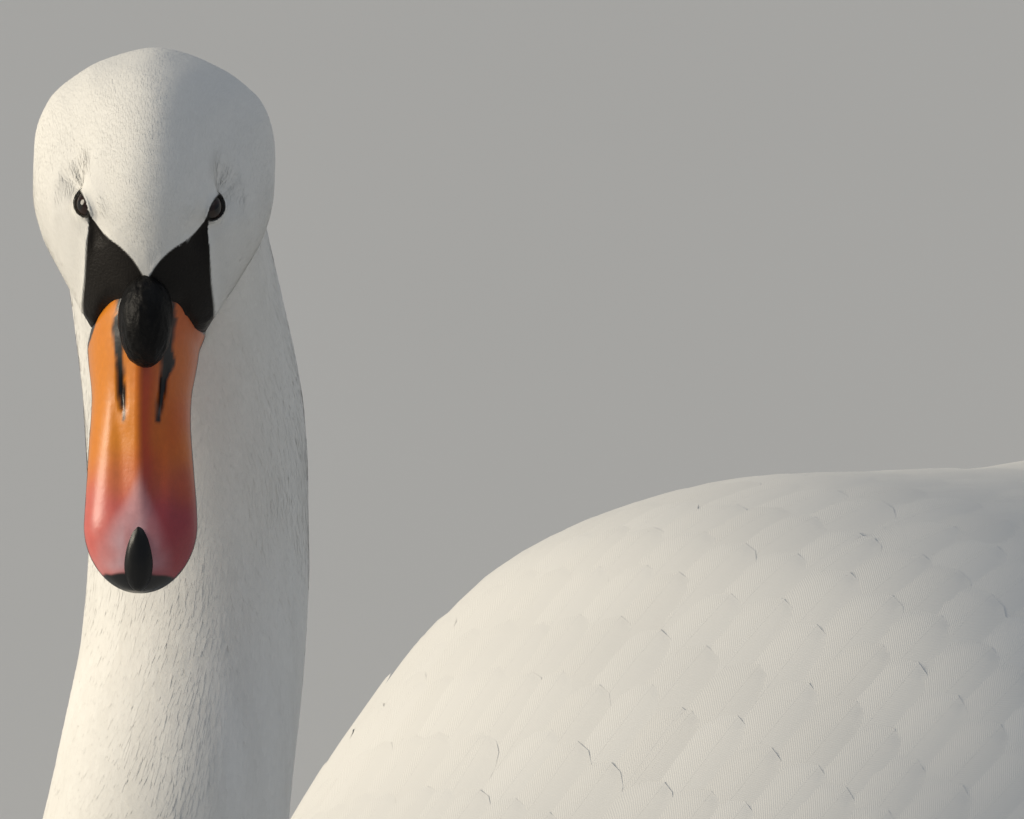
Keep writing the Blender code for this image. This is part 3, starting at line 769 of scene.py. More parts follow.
def nostril_line(side, ahead):
    """How far from the ridge the nostril's middle lies; the two sides of this bill aren't quite alike."""
    return 8.5 - 0.09 * (ahead - NOSTRIL_FROM) - 1.5 * (side < 0)


def nostril_off(side, ahead):
    """Distance from the nostril's middle line, in slot widths; 1 is its edge."""
    middle_ahead, half = (NOSTRIL_FROM + NOSTRIL_TO) / 2, (NOSTRIL_TO - NOSTRIL_FROM) / 2
    return np.hypot((ahead - middle_ahead) / half, (np.abs(side) - nostril_line(side, ahead)) / NOSTRIL_WIDE)


def upper_bill(turn, run):
    """World places on the upper half."""
    ahead = BILL_ROOT + (BILL_TIP - BILL_ROOT) * np.sin(np.pi / 2 * run)
    width, ridge, edge, full = through(UPPER_BILL, ahead)
    close = rounded_end(ahead, BILL_TIP, 24)
    angle = 2 * np.pi * turn
    over = np.sin(angle) >= 0
    share = np.sign(np.cos(angle)) * np.abs(np.cos(angle)) ** 0.8
    height = (ridge - edge) * (0.35 + 0.65 * close)
    roof = np.maximum(1 - np.abs(share) ** full, 0) ** 0.5
    side = width * close * share
    up = edge + np.where(over, height * roof, 0.9 * (1 - share**2) * close)
    mid_bill = ramp(ahead, 44, 58) * (1 - ramp(ahead, 88, 108))
    up += over * mid_bill * RIDGE_HIGH * np.exp(-((side / RIDGE_HALF) ** 2))
    up -= over * mid_bill * TROUGH_DEEP * np.exp(-(((np.abs(side) - TROUGH_SIDE) / TROUGH_HALF) ** 2))
    off = nostril_off(side, ahead)
    dent = NOSTRIL_DEEP * np.sqrt(np.maximum(1 - off**2, 0)) - 0.35 * np.exp(-(((off - 1.45) / 0.35) ** 2))
    up -= over * dent * ramp(ahead, 50, 56)
    lip = over * np.exp(-(((up - edge) / LIP_HIGH) ** 2)) * ramp(np.abs(share), 0.8, 1.0)
    side += np.sign(side) * LIP_OUT * lip
    return from_head(side + sway(ahead), leant(ahead, up), up)


bill_upper = tube("bill_upper_horn", 112, 170, upper_bill)

# %% Lower half
LOWER_TIP = 118.5
LOWER_BILL = [(22, 17.0, -47), (31, 17.0, -47.5), (60, 14.5, -46.5), (90, 15.5, -46.5), (118.5, 14.0, -46.5)]


def lower_bill(turn, run):
    """World places on the lower half, which closes against the upper one."""
    ahead = BILL_ROOT + (LOWER_TIP - 0.2 - BILL_ROOT) * np.sin(np.pi / 2 * run)
    width, under = through(LOWER_BILL, ahead)
    edge = through(UPPER_BILL, ahead)[2] - 0.3
    close = rounded_end(ahead, LOWER_TIP, 19)
    angle = 2 * np.pi * turn
    below = np.sin(angle) <= 0
    share = np.sign(np.cos(angle)) * np.abs(np.cos(angle)) ** 0.7
    depth = (edge - under) * (0.35 + 0.65 * close)
    side = width * close * share
    bulge = np.sqrt(np.maximum(1 - share**2, 0))
    groove = 0.9 * np.exp(-((side / 3.0) ** 2)) * (1 - ramp(ahead, 60, 100))
    up = edge - np.where(below, depth * bulge - groove * bulge, 0)
    return from_head(side + sway(ahead), leant(ahead, up), up)


bill_lower = tube("bill_lower_horn", 64, 90, lower_bill)

# %% [markdown]
# ## Colours of the bill
# The horn is orange at the base and turns salmon pink towards the end. The flank turned from the light,
# the swan's left, is painted deeper orange and darker salmon as painted shade, and a pale painted
# highlight lies in front of the ridge and over the nail. Black runs along the cutting edges, round the
# tip, over the base and down through the nostrils.
# Each mark is a distance in the head's frame with a narrow soft edge.

# %% Paint the bill
# DEEP_ORANGE is the horn's deeper red; on the upper half it is also painted shade on the flank turned from
# the light
ORANGE, DEEP_ORANGE = np.array((0.71, 0.228, 0.012)), np.array((0.56, 0.066, 0.009))
# the darker salmon is the pink end in painted shade, on that same flank
SALMON, SHADED_SALMON = np.array((0.62, 0.13, 0.105)), np.array((0.36, 0.045, 0.055))
# painted highlight: the pale sheen of light on the horn in front of the ridge and round the nail
HIGHLIGHT_PINK = np.array((0.74, 0.52, 0.55))
RIM_BLACK, TIP_BLACK = 0.9, 5.4  # how far the black of the cutting edge and of the tip goes
BASE_BLACK_HALF, BASE_BLACK_TO = 10.0, 47.0  # the black under the knob: to the side, and in reach
STREAK_FROM, STREAK_TO = 36, 71  # the black streaks of the nostrils, ahead of the eyes


def base_black(local):
    """How far inside the black base of the upper bill a place is, in mm."""
    side, reach = np.abs(local[:, 0] + 0.4), reach_of(local)
    wavy = 0.35 * grain(local, 2.5, 5)
    return np.maximum(-bill_edge(local), np.minimum(BASE_BLACK_HALF - side, BASE_BLACK_TO - reach)) + wavy


def nostril_black(local):
    """How far inside the black streak of a nostril a place is, in mm."""
    side, ahead = local[:, 0] - sway(local[:, 1]), local[:, 1]
    share = np.clip((ahead - 42) / 32, 0, 1)
    spot = np.exp(-(((ahead - 51) / 4.5) ** 2)) * (local[:, 0] > 0)
    half = 1.9 - 1.6 * share + 0.9 * spot + 0.4 * grain(local, 3.0, 11)
    line = nostril_line(side, ahead) + 0.8 * spot + 0.5 * grain(local * (0, 1, 0), 6.0, 12)
    return np.min([half - np.abs(np.abs(side) - line), ahead - STREAK_FROM, STREAK_TO - ahead], axis=0)


def painted_highlight(local, side, left):
    """How strong the painted highlight in front of the ridge and round the nail is, from 0 to 1, and less on
    the shaded flank.
    """
    ahead = local[:, 1]
    across_nail = np.abs(side) / (1.8 + (12.0 + 6.0 * (1 - left)) * ramp(ahead, 86, 118))
    along = ramp(ahead, 84, 98) * (1 - ramp(ahead, 118, 124))
    highlight = (1 - ramp(across_nail, 0.2, 1.0)) * along * (1 - 0.4 * left)
    return 0.8 * np.clip(highlight * (0.8 + 0.3 * grain(local * (1, 0.3, 1), 2.5, 9)), 0, 1)


def paint_upper(obj):
    local = to_head(places(obj))
    side, ahead, up = local.T
    side = side - sway(ahead)
    # a deeper red band along the ridge, set off towards the shaded flank: partly the horn's own colour,
    # partly painted shade
    ridge = np.exp(-(((side - 1.6) / 2.6) ** 2)) * ramp(ahead, 42, 50) * (1 - ramp(ahead, 84, 104))
    # left is the swan's left flank, turned away from the light: it is painted deeper orange and darker salmon
    # as painted shade
    left = ramp(side, -0.6, 2.2)
    colour = mixed(ORANGE, DEEP_ORANGE, np.clip(0.45 * ridge + 0.62 * left + 0.12 * grain(local, 9, 2), 0, 1))
    pink = ramp(ahead + 3.5 * grain(local, 8, 4) + 0.10 * np.abs(side), 78, 104)
    colour = mixed(colour, mixed(SALMON, SHADED_SALMON, left), pink)
    # painted highlight over the nail, weaker on the shaded flank
    colour = mixed(colour, HIGHLIGHT_PINK, painted_highlight(local, side, left))
    rim = RIM_BLACK - (up - through(UPPER_BILL, ahead)[2]) + 0.3 * grain(local, 3, 6)
    tip = ahead - (BILL_TIP - TIP_BLACK) + 0.4 * grain(local, 3, 7)
    slot = (0.8 - nostril_off(side, ahead)) * 3
    black = np.max([rim * 0.8, tip, base_black(local), nostril_black(local), slot], axis=0)
    paint(obj, mixed(colour, HORN_BLACK, ramp(black, -0.45, 0.45)), bill_horn)


def paint_lower(obj):
    local = to_head(places(obj))
    side, ahead, _ = local.T
    colour = mixed(DEEP_ORANGE, SALMON, ramp(ahead, 70, 105))
    rim = np.abs(side) - through(LOWER_BILL, ahead)[0] + 2.0
    black = np.max([rim, 40 - reach_of(local), ahead - 108], axis=0) + 0.5 * grain(local, 4, 8)
    paint(obj, mixed(colour, HORN_BLACK, ramp(black, -0.6, 0.6)), bill_horn)


paint_upper(bill_upper)
paint_lower(bill_lower)
place_piece(bill_upper, "bill", "bill_upper")
place_piece(bill_lower, "bill", "bill_lower")

# %% [markdown]
# ## Knob and nail
# The knob is a lump of bare black skin over the root of the bill, larger in males in spring. It is
# wrinkled lengthwise. The nail is a hard black plate let into the end of the bill.

# %% Lumps on the bill
KNOB_CENTRE, KNOB_RADII, KNOB_LEAN = (38.4, -7.6), (9.4, 16.3, 12.5), 25
NAIL_CENTRE, NAIL_RADII, NAIL_LEAN = (115.6, -35.2), (5.6, 12.0, 4.2), 25


def lump(centre, radii, lean, relief, taper=0.0):
    """The shape of an egg tilted nose down, with relief(egg) raised on it in mm and its back end narrowed."""
    tilt = np.array(Matrix.Rotation(math.radians(lean), 3, "X"))
    middle_at = float(sway(centre[0])) if centre[0] > 60 else 0.0

    def shape(turn, run):
        b, a = np.pi * (1 - run), 2 * np.pi * turn
        out = np.stack([np.sin(b) * np.cos(a), np.cos(b), np.sin(b) * np.sin(a)], -1)
        egg = out * radii
        egg[:, 0] *= 1 - taper * (0.5 + 0.5 * out[:, 1]) ** 2
        egg = egg + out * relief(egg)[:, None]
        side, back, up = (egg @ tilt.T).T
        return from_head(side + middle_at, centre[0] - back, centre[1] + up)

    return shape


def knob_relief(egg):
    wrinkles = grain(egg * (1, 0.28, 1), 1.5, 21) + 0.5 * grain(egg * (1, 0.35, 1), 0.75, 22)
    return 0.26 * wrinkles + 0.25 * grain(egg, 5.0, 23)


def nail_relief(egg):
    return 0.08 * grain(egg * (1, 0.2, 1), 0.9, 24)


knob = tube("knob_skin", 120, 110, lump(KNOB_CENTRE, KNOB_RADII, KNOB_LEAN, knob_relief))
patches = ramp(grain(to_head(places(knob)), 1.4, 25), 0.1, 0.9)
paint(knob, mixed(BARE_BLACK * 0.6, BARE_BLACK * 1.3, patches), bare_skin)
place_piece(knob, "bare_skin", "knob")
nail = tube("nail_horn", 48, 48, lump(NAIL_CENTRE, NAIL_RADII, NAIL_LEAN, nail_relief, 0.3))
paint(nail, HORN_BLACK, black_horn)
place_piece(nail, "horn", "nail")

# %% [markdown]
# ## Eyes
# A swan's eye is small and dark: a brown iris that is hard to tell from the pupil, under a clear
# cornea that bulges a little. Each eye is a ball whose pole points where the bird looks, so that the
# colours are rings about that pole.

# %% Eyeballs
PUPIL, IRIS = 17.0, 40.0  # half angles
CORNEA_HIGH, CORNEA_WIDE = 0.03, 28  # its bulge, in radii of the ball, and half its angle
IRIS_BROWN, EYE_DARK = np.array((0.022, 0.009, 0.005)), np.array((0.004, 0.003, 0.003))


def make_eye(word, sign):
    """One eyeball, in its place and painted."""
    look = head_direction(sign * EYE_LOOK[0], *EYE_LOOK[1:])
    across = unit(np.cross(look, (0, 0, 1.0)))
    other = np.cross(look, across)
    centre = from_head(sign * EYE_SPOT[0], *EYE_SPOT[1:])

    def shape(turn, run):
        off, a = np.pi * run, 2 * np.pi * turn
        bulge = CORNEA_HIGH * np.exp(-((np.degrees(off) / CORNEA_WIDE) ** 2))
        radius = SEEN_RADIUS * MM * (1 - CORNEA_HIGH / 2 + bulge)
        ring = np.cos(a)[:, None] * across + np.sin(a)[:, None] * other
        return centre + radius[:, None] * (np.cos(off)[:, None] * look + np.sin(off)[:, None] * ring)

    ball = tube(f"eyeball_{word}", 48, 40, shape)
    off = np.degrees(np.arccos(np.clip(unit(places(ball) - centre) @ look, -1, 1)))
    brown = ramp(off, PUPIL - 2, PUPIL + 2) * (1 - ramp(off, IRIS - 6, IRIS + 2))
    paint(ball, mixed(EYE_DARK, IRIS_BROWN, brown), eye_gloss)
    place_piece(ball, "eye", f"eye_{word}")


make_eye("left", 1)
make_eye("right", -1)

# %% [markdown]
# ## The form of the folded wings, and their beds
# A folded wing has one smooth outer form: stations from front to back, and turns from the back (0) to
# the lower edge (90). Under its feathers lies a bed, made from a copy of the wing's own solids in the
# way the skin was made, so that no gap opens between the feathers. Behind the wings a cushion fills
# the room over the rump, where a swan has soft down and the long feathers of both wings meet.

# %% The wing's form
WING = [  # behind its front edge, half width, top, lower edge, in metres
    (0.0, 0.140, 0.255, 0.190), (0.05, 0.157, 0.277, 0.170), (0.14, 0.174, 0.300, 0.150),
    (0.23, 0.188, 0.322, 0.142), (0.32, 0.207, 0.351, 0.146), (0.39, 0.213, 0.365, 0.160),
    (0.47, 0.184, 0.354, 0.190), (0.55, 0.135, 0.322, 0.224), (0.63, 0.087, 0.290, 0.247),
    (0.70, 0.048, 0.272, 0.256),
]
WING_FULLNESS = 0.88  # 1 is an ellipse, less is fuller
WING_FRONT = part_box("wing_coverts_left")[0].y


def wing_form(behind, turn, depth, side):
    """World places on the wing's outer form, or a depth in metres inside it."""
    width, top, low = through(WING, behind)
    a = np.radians(turn)
    s, c = (np.sign(v) * np.abs(v) ** WING_FULLNESS for v in (np.sin(a), np.cos(a)))
    x = width * s - depth * np.sin(a)
    z = low + (top - low) * c - depth * np.cos(a)
    return np.stack([side * x, WING_FRONT + behind + 0 * x, z], -1)


def metres_per_turn(form, behind, turn):
    """How far one degree of turn goes over a form, and never quite nothing."""
    across = np.linalg.norm(form(behind, turn + 1, 0.0, 1) - form(behind, turn - 1, 0.0, 1), axis=-1) / 2
    return np.maximum(across, 0.2 * MM)


# %% Beds
BODY_AXIS_UP = 0.17  # the height of the body's middle line over the floor


def from_body(points):
    """The way straight out from the body's middle line."""
    return unit(points * (1, 0, 1) - (0, 0, BODY_AXIS_UP))


BED_CELL, BED_DEPTH = 5 * MM, 6.5 * MM
FRONT_RAMP, FRONT_SINK = 45 * MM, 9 * MM  # where the wing's front edge goes down into the breast's feathers
RUMP_FROM, RUMP_TO = 0.40, 0.645  # the cushion, behind the wing's front edge
RUMP_CLOSE, RUMP_FLOOR = 0.17, 0.212  # over what length it closes, and the height of its flat floor
RUMP_DEPTH, RUMP_TURN = 11 * MM, 70  # how deep it lies in the wing's form, and how far down its sides go


def finish_bed(bed, *nodes):
    """Smooths, paints and places a bed."""
    pick(bed)
    bpy.ops.object.shade_smooth()
    paint(bed, feather_white(0.2 + 0.1 * grain(places(bed), 20 * MM, 3)), plumage)
    place_piece(bed, "plumage", *nodes)


def rump(turn, run):
    """The cushion: its roof lies under the wing's form and comes down to the tail, its floor is flat."""
    behind = RUMP_FROM + (RUMP_TO - RUMP_FROM) * np.sin(np.pi / 2 * run)
    close = rounded_end(behind, RUMP_TO + 0.1 * MM, RUMP_CLOSE)
    angle = 2 * np.pi * turn
    c, s = np.cos(angle), np.sin(angle)
    roof = wing_form(behind, np.abs(90 - np.degrees(angle)) * RUMP_TURN / 90, RUMP_DEPTH, 1)
    edge = wing_form(behind, RUMP_TURN, RUMP_DEPTH, 1)
    x = np.where(s >= 0, np.sign(c) * roof[:, 0], edge[:, 0] * c) * (0.15 + 0.85 * close)
    z = np.where(s >= 0, roof[:, 2], edge[:, 2] + (edge[:, 2] - RUMP_FLOOR) * s)
    z = RUMP_FLOOR + (z - RUMP_FLOOR) * (0.1 + 0.9 * close)
    return np.stack([x, WING_FRONT + behind, z], -1)


beds = {}
for word in ("left", "right"):
    inner = [f"{area}_{word}" for area in ("wing_coverts", "scapulars", "secondaries")]
    bed = copy_of(f"wing_bed_{word}", inner, grow=GROWN)
    apply(bed, "REMESH", mode="VOXEL", voxel_size=BED_CELL)
    apply(bed, "SMOOTH", factor=0.5, iterations=6)
    points = places(bed)
    front = 1 - ramp(points[:, 1] - WING_FRONT, 0.0, FRONT_RAMP)
    move_to(bed, points - from_body(points) * (BED_DEPTH + FRONT_SINK * front)[:, None])
    apply(bed, "SMOOTH", factor=0.5, iterations=3)
    finish_bed(bed, *inner)
    beds[word] = bed
beds["rump"] = tube("rump_bed", 64, 48, rump)
finish_bed(beds["rump"])

# %% [markdown]
# ## The coat of small feathers
# A contour feather is a thin leaf: narrow at its root, broad in the middle, with a soft tip. Rooted in
# the skin, it rises and then lies back over the roots of the next ones, as slates do. All that differs
# from face to belly is its size and how far it rises. So one leaf is described once, as rows and
# columns of a grid, and arrays put thousands of them in place at a time, which no modelling by hand
# could do. Each leaf stays at a dozen triangles or fewer.

# %% The pattern of a leaf
def leaf(rows, columns, widths):
    """Run and side of each vertex of a leaf, side scaled by the width at its row, and the triangles."""
    runs, sides = [0.0], [0.0]
    for row in range(1, rows):
        for side in np.linspace(-1, 1, columns):
            runs.append(row / rows)
            sides.append(side * widths[row - 1])
    runs.append(1.0)
    sides.append(0.0)
    tip = len(runs) - 1
    faces = []
    for column in range(columns - 1):
        faces.append((0, 1 + column, 2 + column))
        for row in range(rows - 2):
            a = 1 + row * columns + column
            faces += [(a, a + columns, a + columns + 1), (a, a + columns + 1, a + 1)]
        a = 1 + (rows - 2) * columns + column
        faces.append((a, tip, a + 1))
    return np.array(runs), np.array(sides), np.array(faces)


DOWN_LEAF = leaf(2, 3, [1.0])  # 4 triangles, for the face
NECK_LEAF = leaf(3, 3, [0.95, 0.85])  # 8 triangles
BODY_LEAF = leaf(4, 3, [0.85, 1.0, 0.8])  # 12 triangles
print("triangles in a leaf:", [len(pattern[2]) for pattern in (DOWN_LEAF, NECK_LEAF, BODY_LEAF)])


# %% Sow the roots
class Ground:
    """A surface to sow on: its vertices, its triangles, and a tree to find places on it."""

    def __init__(self, obj):
        obj.data.calc_loop_triangles()
        self.points, self.normals = places(obj), normals_of(obj)
        self.faces = numbers(obj.data.loop_triangles, "vertices", 3, np.int32)
        a, b, c = np.moveaxis(self.points[self.faces], 1, 0)
        turned = np.cross(b - a, c - a)
        self.area, self.facing = np.linalg.norm(turned, axis=1) / 2, unit(turned)
        self.middle = (a + b + c) / 3
        self.tree = BVHTree.FromPolygons(self.points.tolist(), self.faces.tolist())

    def nearest(self, points):
        """The nearest place on the surface to each point, and the smooth normal there."""
        found = [self.tree.find_nearest(p) for p in points.tolist()]
        spot = np.array([tuple(f[0]) for f in found])
        corners = self.faces[[f[2] for f in found]]
        a, b, c = np.moveaxis(self.points[corners], 1, 0)
        whole = np.cross(b - a, c - a)
        size = np.maximum((whole**2).sum(1), 1e-20)
        at_b = (np.cross(spot - a, c - a) * whole).sum(1) / size
        at_c = (np.cross(b - a, spot - a) * whole).sum(1) / size
        share = np.stack([1 - at_b - at_c, at_b, at_c], -1)[..., None]
        return spot, unit((self.normals[corners] * share).sum(1))


ground = Ground(skin)
ground.normals = unit(np.stack([even_out(skin, ground.normals[:, k], 6) for k in range(3)], -1))
face_run = along_line(ground.points)[0][ground.faces].mean(1)
face_local = to_head(ground.middle)
cover = [Ground(bed).tree for bed in beds.values()]
COVER_START, COVER_REACH = 4 * MM, 0.09  # a bed is looked for this far over the skin


def under_wing(point):
    """Whether a bed lies over this place on the skin, so that no feather there would be seen."""
    outwards = Vector((point[0], 0, point[2] - BODY_AXIS_UP)).normalized()
    start = Vector(point) + outwards * COVER_START
    return any(tree.ray_cast(start, outwards, COVER_REACH)[0] is not None for tree in cover)


on_body = np.flatnonzero(face_run > RUN_BREAST)
hidden = np.zeros(len(face_run), bool)
hidden[on_body] = [under_wing(point) for point in ground.middle[on_body]]
print("skin faces under the wings:", int(hidden.sum()))
HEAD_RADIUS, FAR_OUT = 80, -50.0  # beyond this many mm a place counts as deep in the feathers
BARE_GAP, SMALLEST = 7.0, 0.45  # feathers grow over this distance from the black, from this share of size


def bareness(local):
    """bare_edge for places anywhere on the bird."""
    return np.where(np.linalg.norm(local, axis=1) < HEAD_RADIUS, bare_edge(local), FAR_OUT)


def shortened(bare):
    """How much smaller the feathers are next to the black."""
    return SMALLEST + (1 - SMALLEST) * ramp(-bare, 0.0, BARE_GAP)


face_bare = bareness(face_local)


def sow(ground, chosen, spacing, rng):
    """Roots on the chosen faces, one for each spacing squared, spread evenly by drawing face by face."""
    wanted = ground.area * chosen / spacing**2
    total = np.cumsum(wanted)
    count = int(total[-1])
    face = np.searchsorted(total, (np.arange(count) + rng.random(count)) * total[-1] / count)
    face = np.minimum(face, len(total) - 1)
    a, b = rng.random(count), rng.random(count)
    flip = a + b > 1
    a, b = np.where(flip, 1 - a, a), np.where(flip, 1 - b, b)
    share = np.stack([1 - a - b, a, b], -1)[..., None]
    corners = ground.faces[face]
    root = (ground.points[corners] * share).sum(1)
    normal = unit((ground.normals[corners] * share).sum(1))
    return root, normal


# %% Grow the leaves
PATCH = 0.003  # size of a leaf's own patch on its map
PLUSH = 0.55  # how far a leaf's shading turns to the skin's, which makes the coat look soft
FLOOR_CLEAR = 0.2 * MM  # no feather comes nearer to the floor


def add_mesh(name, points, faces, finish, colours, map_places, normals, plush=PLUSH):
    """A mesh of triangles from arrays: each vertex has a colour, a place on the map OFBake and a normal."""
    mesh = bpy.data.meshes.new(name)
    mesh.vertices.add(len(points))
    mesh.vertices.foreach_set("co", points.astype(np.float32).ravel())
    mesh.loops.add(faces.size)
    mesh.loops.foreach_set("vertex_index", faces.astype(np.int32).ravel())
    mesh.polygons.add(len(faces))
    mesh.polygons.foreach_set("loop_start", np.arange(0, faces.size, 3, dtype=np.int32))
    mesh.polygons.foreach_set("loop_total", np.full(len(faces), 3, np.int32))
    mesh.update(calc_edges=True)
    layer = mesh.uv_layers.new(name="OFBake")
    layer.data.foreach_set("uv", map_places[faces.ravel()].astype(np.float32).ravel())
    obj = bpy.data.objects.new(name, mesh)
    bpy.context.collection.objects.link(obj)
    paint(obj, colours, finish)
    pick(obj)
    bpy.ops.object.shade_smooth()
    own = normals_of(obj)
    own *= np.sign((own * normals).sum(1, keepdims=True))
    corner = unit(own * (1 - plush) + normals * plush)[faces]
    a, b, c = np.moveaxis(points[faces], 1, 0)
    corner *= np.where((corner * np.cross(b - a, c - a)[:, None]).sum(-1, keepdims=True) < 0, -1.0, 1.0)
    obj.data.normals_split_custom_set(corner.reshape(-1, 3).tolist())
    return obj


def own_patches(spots, sides, runs):
    """Map places: each feather has a small patch of its own, about its root's spot from 0 to 1."""
    root = spots * (1 - 2 * PATCH) + PATCH
    return root[:, None] + PATCH / 2 * np.stack([sides, 2 * runs - 1], -1)[None]


def vary(rng, count, amount):
    """Random factors about 1."""
    return 1 + amount * rng.uniform(-1, 1, count)


def grow(name, on, pattern, roots, normals, ways, length, width, rise, camber, tint, run, angle):
    """One piece of plumage on a ground: a leaf for each root, lying along its way, with sizes in metres."""
    runs, sides, faces = pattern
    way = unit(ways - normals * (ways * normals).sum(1, keepdims=True))
    across = np.cross(normals, way)
    lift = 1 - (1 - runs) ** 3
    height = rise[:, None] * (lift - 0.25 * (runs == 0)) - camber[:, None] * sides**2
    centre, up = lay_down(on, roots, way, length, runs)
    points = centre + up * height[..., None] + across[:, None] * (width[:, None] / 2 * sides)[..., None]
    points[..., 2] = np.maximum(points[..., 2], FLOOR_CLEAR)
    # painted shade: each leaf is painted darker towards its root, where it lies under the next ones
    colour = tint[:, None] * (0.93 + 0.07 * runs)[None, :, None]
    unrolled = np.stack([angle / (2 * np.pi) + 0.5, (run - run.min()) / np.ptp(run)], -1)
    patch = own_patches(unrolled, sides, runs)
    offset = (np.arange(len(roots)) * len(runs))[:, None, None]
    return add_mesh(
        name, points.reshape(-1, 3), (faces[None] + offset).reshape(-1, 3), plumage,
        colour.reshape(-1, 3), patch.reshape(-1, 2), up.reshape(-1, 3),
    )


def lay_down(ground, roots, way, length, runs):
    """Bends leaves to the ground: each row's middle is dropped to the nearest place on it."""
    steps = np.unique(runs)
    at, heading = roots, way
    centres, ups = {0.0: roots}, {}
    for before, after in zip(steps, steps[1:]):
        ahead = at + heading * (length * (after - before))[:, None]
        at, out = ground.nearest(ahead)
        heading = unit(heading - out * (heading * out).sum(1, keepdims=True))
        centres[after], ups[after] = at, out
    ups[0.0] = ups[steps[1]]
    return np.stack([centres[r] for r in runs], 1), np.stack([ups[r] for r in runs], 1)


# %% [markdown]
# ## What each part of the coat looks like
# The stations below give, along the middle line, the length and width of the feathers and how far
# apart they stand; they rise by the depth of the coat. On the head they are a few millimetres long,
# as fine as plush. On the neck they are narrow and lie in soft locks; the lower locks are painted
# darker, as painted shade between them, which shows as faint streaks. On the breast and the belly
# they are broad, and on the back and rump long.

# %% Sizes of the small feathers
FEATHERS = [  # run in metres; length, width and spacing in millimetres
    (RUN_FACE - 0.030, 3.4, 1.3, 0.54), (RUN_FACE, 4.8, 1.6, 0.55), (RUN_NAPE, 7.5, 2.2, 0.74),
    (RUN_NAPE + 0.06, 11.5, 3.0, 1.12), (RUN_NECK, 16.0, 3.7, 1.45), (RUN_BREAST, 26.0, 6.6, 2.5),
    (RUN_BREAST + 0.13, 34.0, 11.0, 4.7), (RUN_BODY, 44.0, 18.0, 7.2), (line_run[-1], 50.0, 18.0, 7.2),
]
REGIONS = [  # name, first run, last run, pattern, whether it is two pieces, left and right
    ("coat_face", 0.0, RUN_FACE + 0.005, DOWN_LEAF, False),
    ("coat_crown", RUN_FACE + 0.005, RUN_NAPE, DOWN_LEAF, True),
    ("coat_nape", RUN_NAPE, RUN_NAPE + 0.06, NECK_LEAF, True),
    ("coat_neck_upper", RUN_NAPE + 0.06, RUN_NECK, NECK_LEAF, True),
    ("coat_neck_lower", RUN_NECK, RUN_BREAST, NECK_LEAF, False),
    ("coat_breast", RUN_BREAST, RUN_BREAST + 0.20, BODY_LEAF, False),
    ("coat_body", RUN_BREAST + 0.20, line_run[-1] + 1, BODY_LEAF, False),
]


def streak(run, angle, seed):
    """Soft streaks that run along the body, from -1 to 1."""
    around = np.stack([np.cos(angle) * 0.5, np.sin(angle) * 0.5, run * 2.0], -1)
    return grain(around, 0.055, seed) * 0.6 + grain(around, 0.12, seed + 1) * 0.4


COAT_FILL = 0.97  # how much of the coat's depth the feathers rise
CAMBER = 0.02  # how far a leaf's edges fall, as a share of its width
SIZE_SPREAD = 0.18  # how much feathers side by side differ in length and width


def grow_region(name, first, last, pattern, chosen, seed):
    """One piece of the coat, on the chosen faces between two places on the middle line."""
    rng = np.random.default_rng(seed)
    chosen = chosen & ~hidden & (face_run >= first) & (face_run < last) & (face_bare < 0.25)
    roots, normals = sow(ground, chosen, through(FEATHERS, face_run)[2] * shortened(face_bare) * MM, rng)
    run, ways, angle = along_line(roots)
    tips = to_head(roots + ways * (through(FEATHERS, run)[0] * 0.5 * MM)[:, None])
    over_eye = (eye_distance(tips) < EYE_CLEAR[1]) & (bare_edge(tips) > 0.2)
    keep = (bare_edge(to_head(roots)) < 0.1) & ~over_eye
    roots, normals, run, ways, angle = (v[keep] for v in (roots, normals, run, ways, angle))
    local = to_head(roots)
    length, width, _ = through(FEATHERS, run) * MM * shortened(bareness(local))
    lock = streak(run, angle, 40)
    count = len(roots)
    turn = 0.07 * rng.normal(size=count) + 0.12 * grain(roots, 30 * MM, 31)
    ways = unit(ways + np.cross(normals, ways) * turn[:, None])
    uneven = 0.015 + 0.035 * ramp(run, RUN_NAPE, RUN_BREAST)
    rise = coat_depth(roots) * COAT_FILL * vary(rng, count, uneven) * (1 + uneven * lock)
    rise *= 1 - 0.2 * crease(local) * (eye_distance(local) < 45)
    # painted shade: locks that lie lower are painted darker, which makes the streaks; the rest is random tone
    shade = 0.16 - 0.34 * lock * ramp(run, RUN_NAPE, RUN_NECK) + 0.05 * rng.normal(size=count)
    piece = grow(
        name, ground, pattern, roots, normals, ways, length * vary(rng, count, SIZE_SPREAD),
        width * vary(rng, count, SIZE_SPREAD), rise, CAMBER * width, feather_white(shade), run, angle,
    )
    place_piece(piece, "plumage")


for number, (name, first, last, pattern, split) in enumerate(REGIONS):
    left, everywhere = face_local[:, 0] > 0, np.ones(len(face_local), bool)
    halves = [("_left", left, 100), ("_right", ~left, 200)] if split else [("", everywhere, 100)]
    for ending, chosen, seed in halves:
        grow_region(name + ending, first, last, pattern, chosen, seed + number)

# %% [markdown]
# ## The big feathers of the wings
# A folded wing is a stack. Small coverts lie in rows from the shoulder backwards, each row over the
# roots of the next. The long coverts reach over the secondaries, the secondaries over the
# primaries, and the scapulars hang over it all from the back. Each feather is a closed vane laid on
# the wing's form, so it takes on the wing's curve.

# %% The pattern of a vane
VANE_RUNS = [0.0, 0.10, 0.28, 0.48, 0.66, 0.80, 0.90, 0.965, 1.0]
VANE_WIDTHS = [0.0, 0.55, 0.84, 0.98, 1.0, 0.93, 0.74, 0.45, 0.0]


